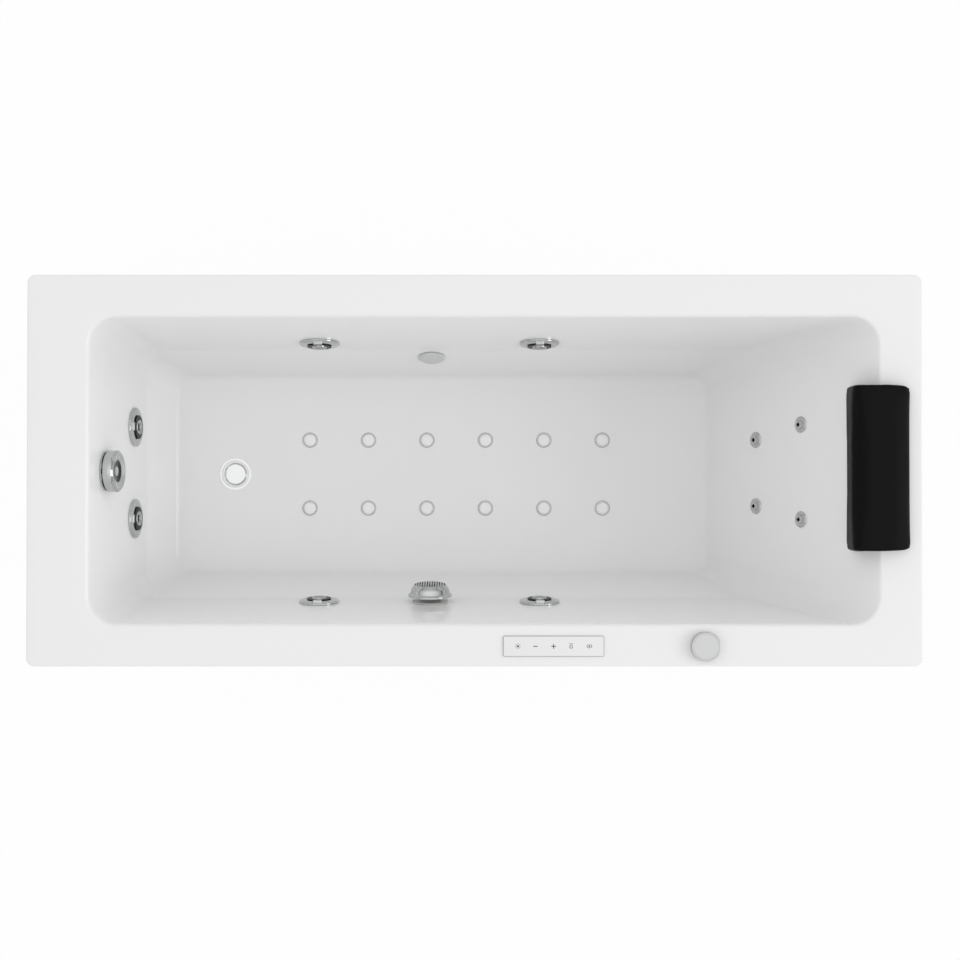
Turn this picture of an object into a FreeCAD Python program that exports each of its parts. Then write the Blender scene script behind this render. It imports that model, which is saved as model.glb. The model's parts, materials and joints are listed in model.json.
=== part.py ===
import FreeCAD, Part
import math
import os

# Jetted bathtub, single ended. Millimetres, +X towards the head end, +Y towards the room's wall,
# +Z up. The origin lies on the floor, under the middle of the rim.

Vector = FreeCAD.Vector

# ---- driving dimensions: tub -------------------------------------------------------------
tub_length = 1600.0
tub_width = 700.0
rim_height = 560.0
basin_depth = 400.0
shell_wall = 6.0
lip_depth = 38.0
rim_corner_radius = 15.0
rim_edge_radius = 4.0
opening_edge_radius = 8.0
rim_at_foot = 110.0
rim_at_head = 77.5
rim_at_side = 75.0
basin_corner_radius = 50.0
floor_edge_radius = 15.0
wall_break_radius = 60.0
long_break_depth = 265.0
long_break_inset = 34.0
long_floor_inset = 77.0
foot_break_depth = 325.0
foot_break_inset = 40.0
foot_floor_inset = 86.0
head_floor_inset = 254.5

# ---- driving dimensions: base board and frame ---------------------------------------------
board_thickness = 15.0
board_from_foot = 400.0
board_from_head = 370.0
board_edge_inset = 20.0
board_corner_radius = 20.0
tube_size = 25.0
tube_wall = 2.0
frame_edge_gap = 11.5
side_rail_inset = 50.0
board_rail_inset = 20.0
waist_rail_inset = 120.0
tray_rail_from_head = 320.0
post_plate_size = 43.0
post_plate_thickness = 4.0
tray_thickness = 3.0
board_screw_y = 120.0
board_screw_radius = 3.0
board_screw_head_radius = 6.0
board_screw_head = 3.5
board_screw_bite = 12.5
board_screw_gap = 0.5
foot_inset = 85.0
foot_pad_radius = 25.0
foot_pad_height = 12.0
foot_stud_radius = 6.0
foot_travel = 20.0
foot_nut_width = 19.0
foot_nut_height = 10.0

# ---- driving dimensions: water jets -------------------------------------------------------
side_jet_x = [-298.0, 123.0]
side_jet_depth = 210.0
foot_jet_y = 88.5
foot_jet_depth = 250.0
jet_face_radius = 38.0
jet_hole_radius = 27.0
jet_flange_radius = 34.0
jet_flange_thickness = 2.5
jet_bore_radius = 21.5
jet_ball_radius = 15.0
jet_ball_centre = 5.0
jet_outlet_radius = 7.5
jet_body_radius = 32.0
jet_body_length = 54.0
jet_pipe_setback = 42.0
jet_socket_reach = 58.0
jet_tab_width = 6.0
jet_tab_length = 9.0
jet_tab_rise = 3.0
jet_thread_reach = 24.0
jet_socket_back = -14.0
jet_lip_height = 8.8
jet_lip_thickness = 2.0
jet_lip_overhang = 2.1
jet_face_edge = 3.5
jet_face_fall = 1.8
jet_ball_front = 10.0
jet_ball_back = 9.0
jet_flange_back = 6.0
jet_socket_wall = 4.5
jet_socket_stop = 36.0
jet_barb_radius = 6.0
jet_barb_length = 20.0
jet_barb_setback = 24.0

# ---- driving dimensions: other fittings ---------------------------------------------------
micro_jet_places = [(174.5, 64.5), (107.5, 89.5)]
micro_jet_radius = 15.5
micro_jet_hole_radius = 10.0
micro_nozzle_radius = 8.0
micro_outlet_radius = 2.6
micro_thread_reach = 20.0
micro_flange_thickness = 2.4
micro_nozzle_depth = 8.3
micro_body_length = 40.0
micro_elbow_wall = 2.5
micro_body_wall = 3.0
micro_seat_step = 2.0
micro_edge_bevel = 2.0
micro_nozzle_bevel = 1.5
micro_nozzle_rise = 1.0
air_jets_in_row = 6
air_jet_middle_x = -39.0
air_jet_pitch = 118.6
air_jet_y = 69.0
air_jet_radius = 15.5
air_jet_cap_radius = 12.5
air_jet_hole_radius = 7.0
air_jet_bore_radius = 5.0
air_jet_thread_reach = 18.0
air_jet_flange_thickness = 1.6
air_jet_flange_edge = 0.6
air_jet_flange_bevel = 1.2
air_jet_cap_height = 4.8
air_jet_cap_edge = 0.8
air_jet_cap_crown = 0.72
air_jet_board_gap = 2.0
air_jet_nut_radius = 14.0
air_stem_radius = 9.0
air_riser_radius = 7.0
air_riser_drop = 35.0
suction_x = -86.0
suction_depth = 214.0
suction_radius = 42.0
suction_height = 27.0
suction_hole_radius = 27.0
suction_cover_wall = 3.0
suction_flange = 4.0
suction_dome_lean = 2.4
suction_slot_inset = 10.0
suction_slot_floor = 0.5
# (inset from the edge, share of the height)
suction_dome = [(4.0, 0.22), (6.0, 0.55), (12.0, 0.82), (25.0, 1.0)]
suction_slots_each_side = 5
suction_slot_pitch = 5.0
suction_slot_width = 2.4
suction_setback = 42.0
suction_socket_wall = 4.0
suction_socket_reach = 62.0
suction_socket_stop = 40.0
light_x = -86.0
light_depth = 302.0
light_radius = 26.0
light_hole_radius = 18.0
light_back_radius = 23.0
light_housing_length = 28.0
# (inset from the edge, height)
light_lens_dome = [(0.0, 1.5), (4.0, 4.0), (13.0, 5.2), (26.0, 5.5)]
overflow_depth = 92.0
overflow_knob_radius = 38.5
overflow_knob_height = 25.0
overflow_hole_radius = 24.0
overflow_plate_radius = 36.0
overflow_plate_thickness = 3.0
overflow_spindle_radius = 5.0
overflow_tube_reach = 16.0
overflow_hub_reach = 12.0
overflow_water_hole = 4.0
overflow_skirt_height = 6.0
overflow_setback = 50.0
overflow_pipe_gap = 2.5
overflow_water_holes = 6
overflow_hub_wall = 4.0
overflow_cup_wall = 3.0
overflow_knob_wall = 4.0
overflow_knob_floor = 9.0
overflow_bowl_depth = 5.0
# (inset from the edge, drop below the front)
overflow_knob_rim = [(0.0, 4.0), (3.0, 0.0), (13.0, 0.0), (17.0, 3.5)]
overflow_drop = 20.0
overflow_step = 45.0
overflow_foot_rise = 25.0
overflow_foot_run = 86.0
waste_from_end = 313.0
waste_flange_radius = 37.5
waste_plug_radius = 21.3
waste_hole_radius = 24.0
waste_recess_depth = 3.0
waste_plug_lift = 10.0
waste_tube_reach = 30.0
waste_tube_bore = 20.0
waste_stem_radius = 4.0
waste_stem_grip = 6.0
waste_edge_height = 2.0
waste_edge_inset = 2.5
waste_rim_height = 3.2
waste_dish_width = 4.0
waste_dish_height = 2.6
waste_mouth_height = 1.8
waste_seat_drop = 0.6
waste_hub_top = 8.0
waste_hub_bottom = 18.0
waste_hub_wall = 3.5
waste_spokes = 4
waste_spoke_width = 3.0
waste_spoke_inset = 2.0
# (inset from the edge, height)
waste_plug_dome = [(0.0, 2.6), (4.3, 4.6), (21.3, 5.4)]
trap_flange_radius = 42.0
trap_radius = 36.0
trap_wall = 4.0
trap_depth = 112.0
trap_inlet_drop = 56.0
trap_outlet_drop = 86.0
trap_socket_reach = 56.0
trap_socket_depth = 14.0
outlet_tail_radius = 20.0
outlet_tail_start = 44.0
outlet_tail_length = 60.0
cable_radius = 2.5
cable_pipe_gap = 7.5
cable_setback = 2.0
cable_rise = 8.0
cable_corner_rise = 10.0
controls_inset = 36.6
panel_x = 140.4
panel_length = 180.0
panel_width = 37.0
panel_thickness = 3.0
panel_boss_radius = 9.0
panel_corner_radius = 3.0
panel_nut_width = 26.0
air_knob_x = 410.6
air_knob_radius = 26.0
air_knob_height = 12.0
air_valve_hole_radius = 17.0
air_valve_flange = 2.0
air_valve_length = 70.0
air_spindle_radius = 5.0
air_spindle_reach = 18.0
air_spindle_room = 2.0
air_valve_tail = 18.0
air_valve_neck = 6.0
air_valve_skirt = 4.0
air_knob_edge = 2.0
air_knob_bevel = 1.5
air_nut_width = 41.5
headrest_end_gap = 21.0
headrest_width = 106.0
headrest_length = 305.0
headrest_shift = 4.0
headrest_height = 22.0
headrest_drop = 58.0
headrest_strip_inset = 10.0
headrest_base_thickness = 2.0
headrest_stud_spacing = 180.0
headrest_stud_radius = 4.0
headrest_nut_width = 16.0
headrest_strip_gap = 2.0
headrest_strip_end = 4.0
headrest_wall_gap = 0.9
headrest_nose = 5.0
headrest_nose_rise = 4.0
headrest_front_round = 7.0
headrest_back_round = 8.0
headrest_shoulder = 0.6
headrest_back_edge = 0.3

# ---- driving dimensions: pipes, pump and blower -------------------------------------------
water_pipe_radius = 16.0
water_pipe_wall = 2.0
suction_pipe_radius = 25.0
pipe_bend_radius = 48.0
pump_from_head = 120.0
pump_rise = 85.0
pump_inlet_y = -140.0
pump_casing_radius = 74.0
pump_casing_length = 66.0
pump_motor_radius = 60.0
pump_motor_length = 150.0
pump_outlet_y = -107.0
pump_outlet_rise = 91.0
pump_inlet_union = 16.0
pump_casing_edge = 10.0
pump_socket_wall = 6.0
pump_socket_depth = 14.0
pipe_end_gap = 1.0
pipe_stub = 6.0
motor_ribs = 24
motor_rib_height = 5.0
motor_rib_width = 3.0
pipe_step_start = 135.0
pipe_step_end = 255.0
air_tube_radius = 8.0
air_tube_drop = 58.0
air_hose_radius = 10.0
blower_from_head = 145.0
blower_y = 160.0
blower_radius = 66.0
blower_height = 118.0
blower_port_rise = 30.0
air_hose_from_head = 255.0
air_hose_bend = 28.0

# ---- driving dimensions: air line of the water jets and rail of the back jets --------------
air_line_depth = 145.0
air_line_bend = 30.0
air_line_tee = 16.0
air_line_wall = 3.0
air_drop_depth = 105.0
air_drop_run = 64.0
air_drop_share = 0.6
hose_grip = 14.0
hose_wall = 2.0
rail_radius = 10.0
rail_setback = 12.0
rail_reach = 100.0
rail_feed_run = 42.0
saddle_half = 15.0

# ---- driving dimensions: smaller parts of the pump, blower, tray and control box ------------
union_height = 12.0
union_flat = 4.0
casing_bolts = 8
casing_bolt_inset = 7.0
casing_bolt_width = 7.0
casing_bolt_height = 5.0
motor_flange_width = 12.0
motor_cover_width = 34.0
motor_foot_height = 8.0
motor_foot_share = 0.75
motor_web_share = 0.5
fan_slots = 12
fan_slot_width = 3.5
fan_slot_inner = 14.0
fan_slot_outer = 46.0
fan_slot_depth = 3.0
terminal_box_size = (26.0, 62.0, 46.0)
cable_gland_radius = 8.0
cable_gland_height = 12.0
# (inset from the edge, share of the height)
blower_drum = [(6.0, 0.0), (0.0, 0.05), (0.0, 0.6), (10.0, 0.7), (10.0, 0.95), (18.0, 1.0)]
blower_port_wall = 3.0
blower_flange = 6.0
blower_flange_height = 4.0
blower_vents = 24
blower_vent_width = 3.5
blower_vent_depth = 3.0
blower_vent_low = 0.73
blower_vent_high = 0.92
tray_lip = 12.0
box_depth = 100.0
box_lid = 10.0
box_lid_lip = 2.0
box_half_length = 60.0
box_inward = 40.0
box_gland_spacing = 48.0
box_corner_radius = 5.0

# ---- clearances ---------------------------------------------------------------------------
running_clearance = 0.05
fixed_clearance = 0.1
moving_gap = 0.3
seal_thickness = 2.0

# ---- places worked out from the driving dimensions ------------------------------------------
foot_opening = tub_length / 2 - rim_at_foot
head_opening = tub_length / 2 - rim_at_head
side_opening = tub_width / 2 - rim_at_side
floor_z = rim_height - basin_depth
board_top = floor_z - shell_wall
board_bottom = board_top - board_thickness
rail_bottom = board_bottom - tube_size
tray_top = board_bottom + tray_thickness
end_rail_x = tub_length / 2 - shell_wall - frame_edge_gap - tube_size / 2
side_rail_y = tub_width / 2 - side_rail_inset
board_foot_end = board_from_foot - tub_length / 2
board_head_end = tub_length / 2 - board_from_head
board_half_width = side_opening - long_floor_inset - board_edge_inset
cross_rail_x = [board_foot_end + board_rail_inset, air_jet_middle_x, board_head_end - waist_rail_inset,
                tub_length / 2 - tray_rail_from_head]
first_air_jet = air_jet_middle_x - air_jet_pitch * (air_jets_in_row - 1) / 2
air_jet_x = [first_air_jet + air_jet_pitch * number for number in range(air_jets_in_row)]
air_riser_top = floor_z - air_riser_drop
air_tube_height = floor_z - air_tube_drop
air_hose_x = tub_length / 2 - air_hose_from_head
waste_x = waste_from_end - tub_length / 2
trap_bottom = floor_z - trap_depth
trap_inlet_height = floor_z - trap_inlet_drop
trap_outlet_height = floor_z - trap_outlet_drop
controls_y = controls_inset - tub_width / 2
headrest_back_x = tub_length / 2 - headrest_end_gap
headrest_front_x = headrest_back_x - headrest_width
pump_x = tub_length / 2 - pump_from_head
pump_height = tray_top + pump_rise
pump_outlet_top = pump_height + pump_outlet_rise
blower_x = tub_length / 2 - blower_from_head
blower_port_height = tray_top + blower_port_rise

# Each wall: the way it faces outwards, and how far out it stands at each depth below the rim.
walls = {
    "foot": (Vector(-1, 0, 0), [
        (foot_opening, 0.0),
        (foot_opening - foot_break_inset, foot_break_depth),
        (foot_opening - foot_floor_inset, basin_depth),
    ]),
    "head": (Vector(1, 0, 0), [
        (head_opening, 0.0),
        (head_opening - head_floor_inset, basin_depth),
    ]),
    "back": (Vector(0, 1, 0), [
        (side_opening, 0.0),
        (side_opening - long_break_inset, long_break_depth),
        (side_opening - long_floor_inset, basin_depth),
    ]),
}
walls["front"] = (Vector(0, -1, 0), walls["back"][1])


def block(low, high):
    """A box between two opposite corners."""
    return Part.makeBox(high[0] - low[0], high[1] - low[1], high[2] - low[2], Vector(*low))


def rod(radius, start, end):
    """A round bar from start to end."""
    start = Vector(*start)
    along = Vector(*end) - start
    return Part.makeCylinder(radius, along.Length, start, along)


def turned(outline):
    """An outline of (radius, height) points turned round the Z axis."""
    corners = [Vector(radius, 0, height) for radius, height in outline]
    face = Part.Face(Part.makePolygon(corners + corners[:1]))
    return face.revolve(Vector(0, 0, 0), Vector(0, 0, 1), 360)


def hexagon(width, height, bore):
    """A hexagon nut on the Z axis, from height 0 upwards."""
    reach = width / math.sqrt(3)
    corners = [
        Vector(reach * math.cos(math.radians(60 * side)), reach * math.sin(math.radians(60 * side)), 0)
        for side in range(7)
    ]
    nut = Part.Face(Part.makePolygon(corners)).extrude(Vector(0, 0, height))
    return nut.cut(Part.makeCylinder(bore, height)) if bore else nut


def fused(shapes):
    """Several shapes joined in one clean solid."""
    return shapes[0].fuse(shapes[1:]).removeSplitter()


def group(shapes):
    """Separate solids of one kind kept together."""
    return Part.Compound(shapes)


def edges_at(shape, test):
    """The edges whose end points all pass the test."""
    return [edge for edge in shape.Edges if all(test(vertex.Point) for vertex in edge.Vertexes)]


def near(first, second):
    """Whether two lengths are the same to a micrometre or so."""
    return abs(first - second) < 1e-3


def placement(point, toward, upward):
    """Z along toward, Y along upward, from the point."""
    across = upward.cross(toward)
    return FreeCAD.Placement(point, FreeCAD.Rotation(across, upward, toward, "ZYX"))


def wall_seat(wall, along, depth):
    """The seat of a fitting on the inside of a wall: Z points into the basin, Y up the wall."""
    outward, profile = walls[wall]
    for upper, lower in zip(profile, profile[1:]):
        if depth <= lower[1]:
            break
    lean = (upper[0] - lower[0]) / (lower[1] - upper[1])
    distance = upper[0] - lean * (depth - upper[1])
    along_wall = Vector(abs(outward.y), abs(outward.x), 0)
    point = outward * distance + along_wall * along + Vector(0, 0, rim_height - depth)
    toward = (Vector(0, 0, lean) - outward).normalize()
    upward = (outward * lean + Vector(0, 0, 1)).normalize()
    return placement(point, toward, upward)


def seated(shape, seat):
    """A copy of a shape drawn on the Z axis, moved to its seat."""
    copy = shape.copy()
    copy.Placement = seat.multiply(copy.Placement)
    return copy


def pipe(points, radius, bend, wall=0.0):
    """A round pipe along straight runs joined by tangent arcs; wall 0 leaves it solid."""
    points = [Vector(*point) for point in points]
    edges = []
    start = points[0]
    for before, corner, after in zip(points, points[1:], points[2:]):
        incoming = (corner - before).normalize()
        outgoing = (after - corner).normalize()
        angle = incoming.getAngle(outgoing)
        setback = bend * math.tan(angle / 2)
        arc_start = corner - incoming * setback
        arc_end = corner + outgoing * setback
        inward = (outgoing - incoming).normalize()
        middle = corner + inward * (bend / math.cos(angle / 2) - bend)
        edges.append(Part.LineSegment(start, arc_start).toShape())
        edges.append(Part.Arc(arc_start, middle, arc_end).toShape())
        start = arc_end
    edges.append(Part.LineSegment(start, points[-1]).toShape())
    path = Part.Wire(edges)
    heading = (points[1] - points[0]).normalize()

    def swept(section_radius):
        circle = Part.makeCircle(section_radius, points[0], heading)
        return Part.Solid(path.makePipeShell([Part.Wire(circle)], True, False))

    if wall:
        return swept(radius).cut(swept(radius - wall))
    return swept(radius)


# ---- tub shell ------------------------------------------------------------------------------

def offset_outline(points, distance):
    """An open outline moved sideways by a distance, with its corners mitred."""
    if distance == 0:
        return points
    lines = []
    for (x1, y1), (x2, y2) in zip(points, points[1:]):
        length = math.hypot(x2 - x1, y2 - y1)
        shift_x = (y2 - y1) / length * distance
        shift_y = -(x2 - x1) / length * distance
        lines.append(((x1 + shift_x, y1 + shift_y), (x2 + shift_x, y2 + shift_y)))
    moved = [lines[0][0]]
    for ((x1, y1), (x2, y2)), ((x3, y3), (x4, y4)) in zip(lines, lines[1:]):
        cross = (x1 - x2) * (y3 - y4) - (y1 - y2) * (x3 - x4)
        share = ((x1 - x3) * (y3 - y4) - (y1 - y3) * (x3 - x4)) / cross
        moved.append((x1 + share * (x2 - x1), y1 + share * (y2 - y1)))
    moved.append(lines[-1][1])
    return moved


def reaching(points, height):
    """The outline with its two ends carried on along their own slopes to a height."""
    ends = []
    for end, inner in ((points[0], points[1]), (points[-1], points[-2])):
        share = (height - inner[1]) / (end[1] - inner[1])
        ends.append((inner[0] + share * (end[0] - inner[0]), height))
    return [ends[0]] + points[1:-1] + [ends[1]]


def basin_block(grow, top):
    """The basin as a closed block, its walls and floor moved outwards by grow, up to a height.

    A prism of the lengthways outline (foot wall, floor, backrest) is cut by a prism of the
    crosswise outline (two long walls and floor), then its corners, wall breaks and floor edge
    are rounded.
    """
    foot = [(-out, rim_height - depth) for out, depth in walls["foot"][1]]
    head = [(out, rim_height - depth) for out, depth in walls["head"][1]]
    side = [(out, rim_height - depth) for out, depth in walls["back"][1]]
    lengthways = reaching(offset_outline(foot + head[::-1], grow), top)
    crosswise = reaching(offset_outline([(-out, z) for out, z in side] + side[::-1], grow), top)
    long_corners = [Vector(x, -tub_width, z) for x, z in lengthways]
    cross_corners = [Vector(-tub_length, y, z) for y, z in crosswise]
    long_face = Part.Face(Part.makePolygon(long_corners + long_corners[:1]))
    cross_face = Part.Face(Part.makePolygon(cross_corners + cross_corners[:1]))
    long_prism = long_face.extrude(Vector(0, 2 * tub_width, 0))
    cross_prism = cross_face.extrude(Vector(2 * tub_length, 0, 0))
    basin = long_prism.common(cross_prism).removeSplitter()
    floor = floor_z - grow
    rising = [edge for edge in basin.Edges if not near(edge.Vertexes[0].Z, edge.Vertexes[1].Z)]
    basin = basin.makeFillet(basin_corner_radius + grow, rising)
    basin = basin.makeFillet(floor_edge_radius + grow, edges_at(basin, lambda point: near(point.z, floor)))
    break_heights = [rim_height - long_break_depth, rim_height - foot_break_depth]
    breaks = [edge for edge in basin.Edges if edge.Length > tub_width / 3
              and near(edge.Vertexes[0].Z, edge.Vertexes[-1].Z)
              and any(abs(edge.Vertexes[0].Z - height) < shell_wall for height in break_heights)]
    return basin.makeFillet(wall_break_radius + grow, breaks)


def rim_block():
    """The flat rim with its turned-down lip, hollow underneath."""
    half_x = tub_length / 2
    half_y = tub_width / 2
    rim = block((-half_x, -half_y, rim_height - lip_depth), (half_x, half_y, rim_height))
    upright = edges_at(rim, lambda point: True)
    upright = [edge for edge in upright if not near(edge.Vertexes[0].Z, edge.Vertexes[1].Z)]
    rim = rim.makeFillet(rim_corner_radius, upright)
    rim = rim.makeFillet(rim_edge_radius, edges_at(rim, lambda point: near(point.z, rim_height)))
    hollow = block((-half_x + shell_wall, -half_y + shell_wall, rim_height - lip_depth),
                   (half_x - shell_wall, half_y - shell_wall, rim_height - shell_wall))
    upright = [edge for edge in hollow.Edges if not near(edge.Vertexes[0].Z, edge.Vertexes[1].Z)]
    return rim.cut(hollow.makeFillet(rim_corner_radius - shell_wall, upright))


def jet_seats_list():
    """The six water jets' seats: back wall, front wall, then foot wall."""
    seats = [wall_seat("back", x, side_jet_depth) for x in side_jet_x]
    seats += [wall_seat("front", x, side_jet_depth) for x in side_jet_x]
    seats += [wall_seat("foot", y, foot_jet_depth) for y in (foot_jet_y, -foot_jet_y)]
    return seats


def micro_seats_list():
    """The four small back jets' seats on the backrest."""
    slope = basin_depth / head_floor_inset
    seats = []
    for from_opening, y in micro_jet_places:
        depth = from_opening * slope
        seats += [wall_seat("head", y, depth), wall_seat("head", -y, depth)]
    return seats


def air_jet_places():
    """The twelve floor air jets' centres on the basin floor."""
    return [Vector(x, y, floor_z) for y in (air_jet_y, -air_jet_y) for x in air_jet_x]


jet_seats = jet_seats_list()
micro_seats = micro_seats_list()
suction_seat = wall_seat("front", suction_x, suction_depth)
light_seat = wall_seat("back", light_x, light_depth)
overflow_seat = wall_seat("foot", 0.0, overflow_depth)
waste_seat = FreeCAD.Placement(Vector(waste_x, 0, floor_z - waste_recess_depth), FreeCAD.Rotation())
air_valve_seat = FreeCAD.Placement(Vector(air_knob_x, controls_y, rim_height), FreeCAD.Rotation())
panel_seat = FreeCAD.Placement(Vector(panel_x, controls_y, rim_height), FreeCAD.Rotation())
headrest_middle_x = (head_opening + headrest_back_x) / 2
foot_pipe_x = jet_seats[-1].multVec(Vector(0, 0, -jet_pipe_setback)).x
overflow_pipe_x = foot_pipe_x - 2 * water_pipe_radius - overflow_pipe_gap
headrest_studs = [
    Vector(headrest_middle_x, headrest_shift + side * headrest_stud_spacing / 2, rim_height) for side in (-1, 1)
]


def through_hole(radius):
    """A cutter on the Z axis that passes the shell wall on both sides."""
    return Part.makeCylinder(radius, 6 * shell_wall, Vector(0, 0, -3 * shell_wall))


def tub_shell():
    """The acrylic shell: rim, basin and every hole for a fitting."""
    waste_boss_radius = waste_flange_radius + 2 * shell_wall
    boss = rod(waste_boss_radius, (waste_x, 0, board_top - waste_recess_depth),
               (waste_x, 0, floor_z - shell_wall / 2))
    shell = rim_block().fuse([basin_block(shell_wall, rim_height - shell_wall / 2), boss])
    shell = shell.cut(basin_block(0.0, rim_height + shell_wall))
    shell = shell.removeSplitter()
    mouth = edges_at(shell, lambda point: near(point.z, rim_height)
                     and abs(point.y) < side_opening + 1 and -foot_opening - 1 < point.x < head_opening + 1)
    shell = shell.makeFillet(opening_edge_radius, mouth)
    cutters = [seated(through_hole(jet_hole_radius), seat) for seat in jet_seats]
    cutters += [seated(through_hole(micro_jet_hole_radius), seat) for seat in micro_seats]
    cutters += [seated(through_hole(suction_hole_radius), suction_seat)]
    cutters += [seated(through_hole(light_hole_radius), light_seat)]
    cutters += [seated(through_hole(overflow_hole_radius), overflow_seat)]
    cutters += [seated(through_hole(waste_hole_radius), waste_seat)]
    cutters += [rod(waste_flange_radius + fixed_clearance, (waste_x, 0, floor_z - waste_recess_depth),
                    (waste_x, 0, floor_z + 1))]
    cutters += [rod(air_jet_hole_radius, (place.x, place.y, place.z - 2 * shell_wall),
                    (place.x, place.y, place.z + 1)) for place in air_jet_places()]
    cutters += [seated(through_hole(air_valve_hole_radius), air_valve_seat)]
    cutters += [seated(through_hole(panel_boss_radius + fixed_clearance), panel_seat)]
    cutters += [rod(headrest_stud_radius + fixed_clearance, (stud.x, stud.y, stud.z - 2 * shell_wall),
                    (stud.x, stud.y, stud.z + 1)) for stud in headrest_studs]
    return shell.cut(cutters)


# ---- base board, frame and feet ---------------------------------------------------------------

def foot_places():
    """Where the five levelling feet stand: under the side rails' ends and the middle cross rail."""
    corner_x = tub_length / 2 - foot_inset
    corners = [Vector(x, y, 0) for x in (-corner_x, corner_x) for y in (-side_rail_y, side_rail_y)]
    return corners + [Vector(cross_rail_x[1], 0, 0)]


def board_screw_places():
    """The screws that hold the base board to its cross rails."""
    under_board = [x for x in cross_rail_x if board_foot_end < x < board_head_end]
    return [Vector(x, side * board_screw_y, rail_bottom) for x in under_board for side in (-1, 1)]


def base_board():
    """The board bonded under the basin floor, with a hole for each air jet, screw and the middle foot."""
    board = block((board_foot_end, -board_half_width, board_bottom),
                  (board_head_end, board_half_width, board_top))
    upright = [edge for edge in board.Edges if not near(edge.Vertexes[0].Z, edge.Vertexes[1].Z)]
    board = board.makeFillet(board_corner_radius, upright)
    cutters = [rod(air_jet_nut_radius + air_jet_board_gap, (place.x, place.y, board_bottom),
                   (place.x, place.y, board_top))
               for place in air_jet_places()]
    cutters += [rod(board_screw_radius + fixed_clearance, (screw.x, screw.y, board_bottom),
                    (screw.x, screw.y, board_bottom + board_screw_bite)) for screw in board_screw_places()]
    middle = foot_places()[-1]
    cutters += [rod(foot_stud_radius + 2, (middle.x, middle.y, board_bottom), (middle.x, middle.y, board_top))]
    return board.cut(cutters)


def square_tube(low, high, axis):
    """A square tube between two corners, open at both ends along the axis (0 for X, 1 for Y, 2 for Z)."""
    inner_low = [value if side == axis else value + tube_wall for side, value in enumerate(low)]
    inner_high = [value if side == axis else value - tube_wall for side, value in enumerate(high)]
    return block(low, high).cut(block(inner_low, inner_high))


def frame_rails():
    """Two long side rails and the cross rails between them, drilled for the feet and the board screws."""
    half = tube_size / 2
    end = end_rail_x + half
    rails = []
    for side in (-side_rail_y, side_rail_y):
        rails.append(square_tube((-end, side - half, rail_bottom), (end, side + half, board_bottom), 0))
    for x in [-end_rail_x] + cross_rail_x + [end_rail_x]:
        reach = side_rail_y - half
        rails.append(square_tube((x - half, -reach, rail_bottom), (x + half, reach, board_bottom), 1))
    drills = [rod(foot_stud_radius + moving_gap, (foot.x, foot.y, rail_bottom), (foot.x, foot.y, board_bottom))
              for foot in foot_places()]
    drills += [rod(board_screw_radius + fixed_clearance, (screw.x, screw.y, rail_bottom),
                   (screw.x, screw.y, board_bottom)) for screw in board_screw_places()]
    return group([rail.cut(drills) for rail in rails])


def frame_posts():
    """Four corner posts, each with a plate that carries the rim."""
    half = tube_size / 2
    plate_top = rim_height - shell_wall
    plate_bottom = plate_top - post_plate_thickness
    posts = []
    for x in (-end_rail_x, end_rail_x):
        for y in (-side_rail_y, side_rail_y):
            tube = square_tube((x - half, y - half, board_bottom), (x + half, y + half, plate_bottom), 2)
            plate = block((x - post_plate_size / 2, y - post_plate_size / 2, plate_bottom),
                          (x + post_plate_size / 2, y + post_plate_size / 2, plate_top))
            posts.append(fused([tube, plate]))
    return group(posts)


def frame_screws():
    """The screws up through the cross rails into the base board."""
    screws = []
    for place in board_screw_places():
        top = board_bottom + board_screw_bite - board_screw_gap
        shank = rod(board_screw_radius, (place.x, place.y, rail_bottom - 1), (place.x, place.y, top))
        head = rod(board_screw_head_radius, (place.x, place.y, rail_bottom - board_screw_head), place)
        screws.append(fused([shank, head]))
    return group(screws)


def foot(place):
    """A levelling foot: a broad pad with a threaded stud."""
    stud_top = rail_bottom + foot_travel - foot_nut_height / 5
    body = turned([
        (0, 0),
        (foot_pad_radius, 0),
        (foot_pad_radius, foot_pad_height / 2),
        (foot_stud_radius * 2, foot_pad_height),
        (foot_stud_radius, foot_pad_height),
        (foot_stud_radius, stud_top),
        (0, stud_top),
    ])
    body.translate(place)
    return body


def foot_nuts():
    """A nut welded under the rail at each foot."""
    nuts = []
    for place in foot_places():
        nut = hexagon(foot_nut_width, foot_nut_height, foot_stud_radius + running_clearance)
        nut.translate(Vector(place.x, place.y, rail_bottom - foot_nut_height))
        nuts.append(nut)
    return group(nuts)


# ---- water jets -----------------------------------------------------------------------------

def wall_fittings():
    """The threaded tubes with a flange, screwed in from inside the basin: six jets and the suction."""
    outline = [
        (jet_bore_radius, -jet_thread_reach),
        (jet_hole_radius - fixed_clearance, -jet_thread_reach),
        (jet_hole_radius - fixed_clearance, 0),
        (jet_flange_radius, 0),
        (jet_flange_radius, jet_flange_thickness),
        (jet_bore_radius, jet_flange_thickness),
    ]
    return group([seated(turned(outline), seat) for seat in jet_seats + [suction_seat]])


def jet_socket():
    """The black ring that holds one eyeball: a spherical seat and a lip over the turning face."""
    outer = jet_bore_radius - fixed_clearance
    waterway = jet_ball_radius * 0.8
    ring = turned([
        (waterway, jet_socket_back),
        (outer, jet_socket_back),
        (outer, jet_lip_height),
        (outer + jet_lip_overhang, jet_lip_height),
        (outer + jet_lip_overhang, jet_lip_height + jet_lip_thickness),
        (waterway, jet_lip_height + jet_lip_thickness),
    ])
    return ring.cut(Part.makeSphere(jet_ball_radius + moving_gap, Vector(0, 0, jet_ball_centre)))


def jet_sockets():
    """The six eyeball seats."""
    return group([seated(jet_socket(), seat) for seat in jet_seats])


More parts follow.
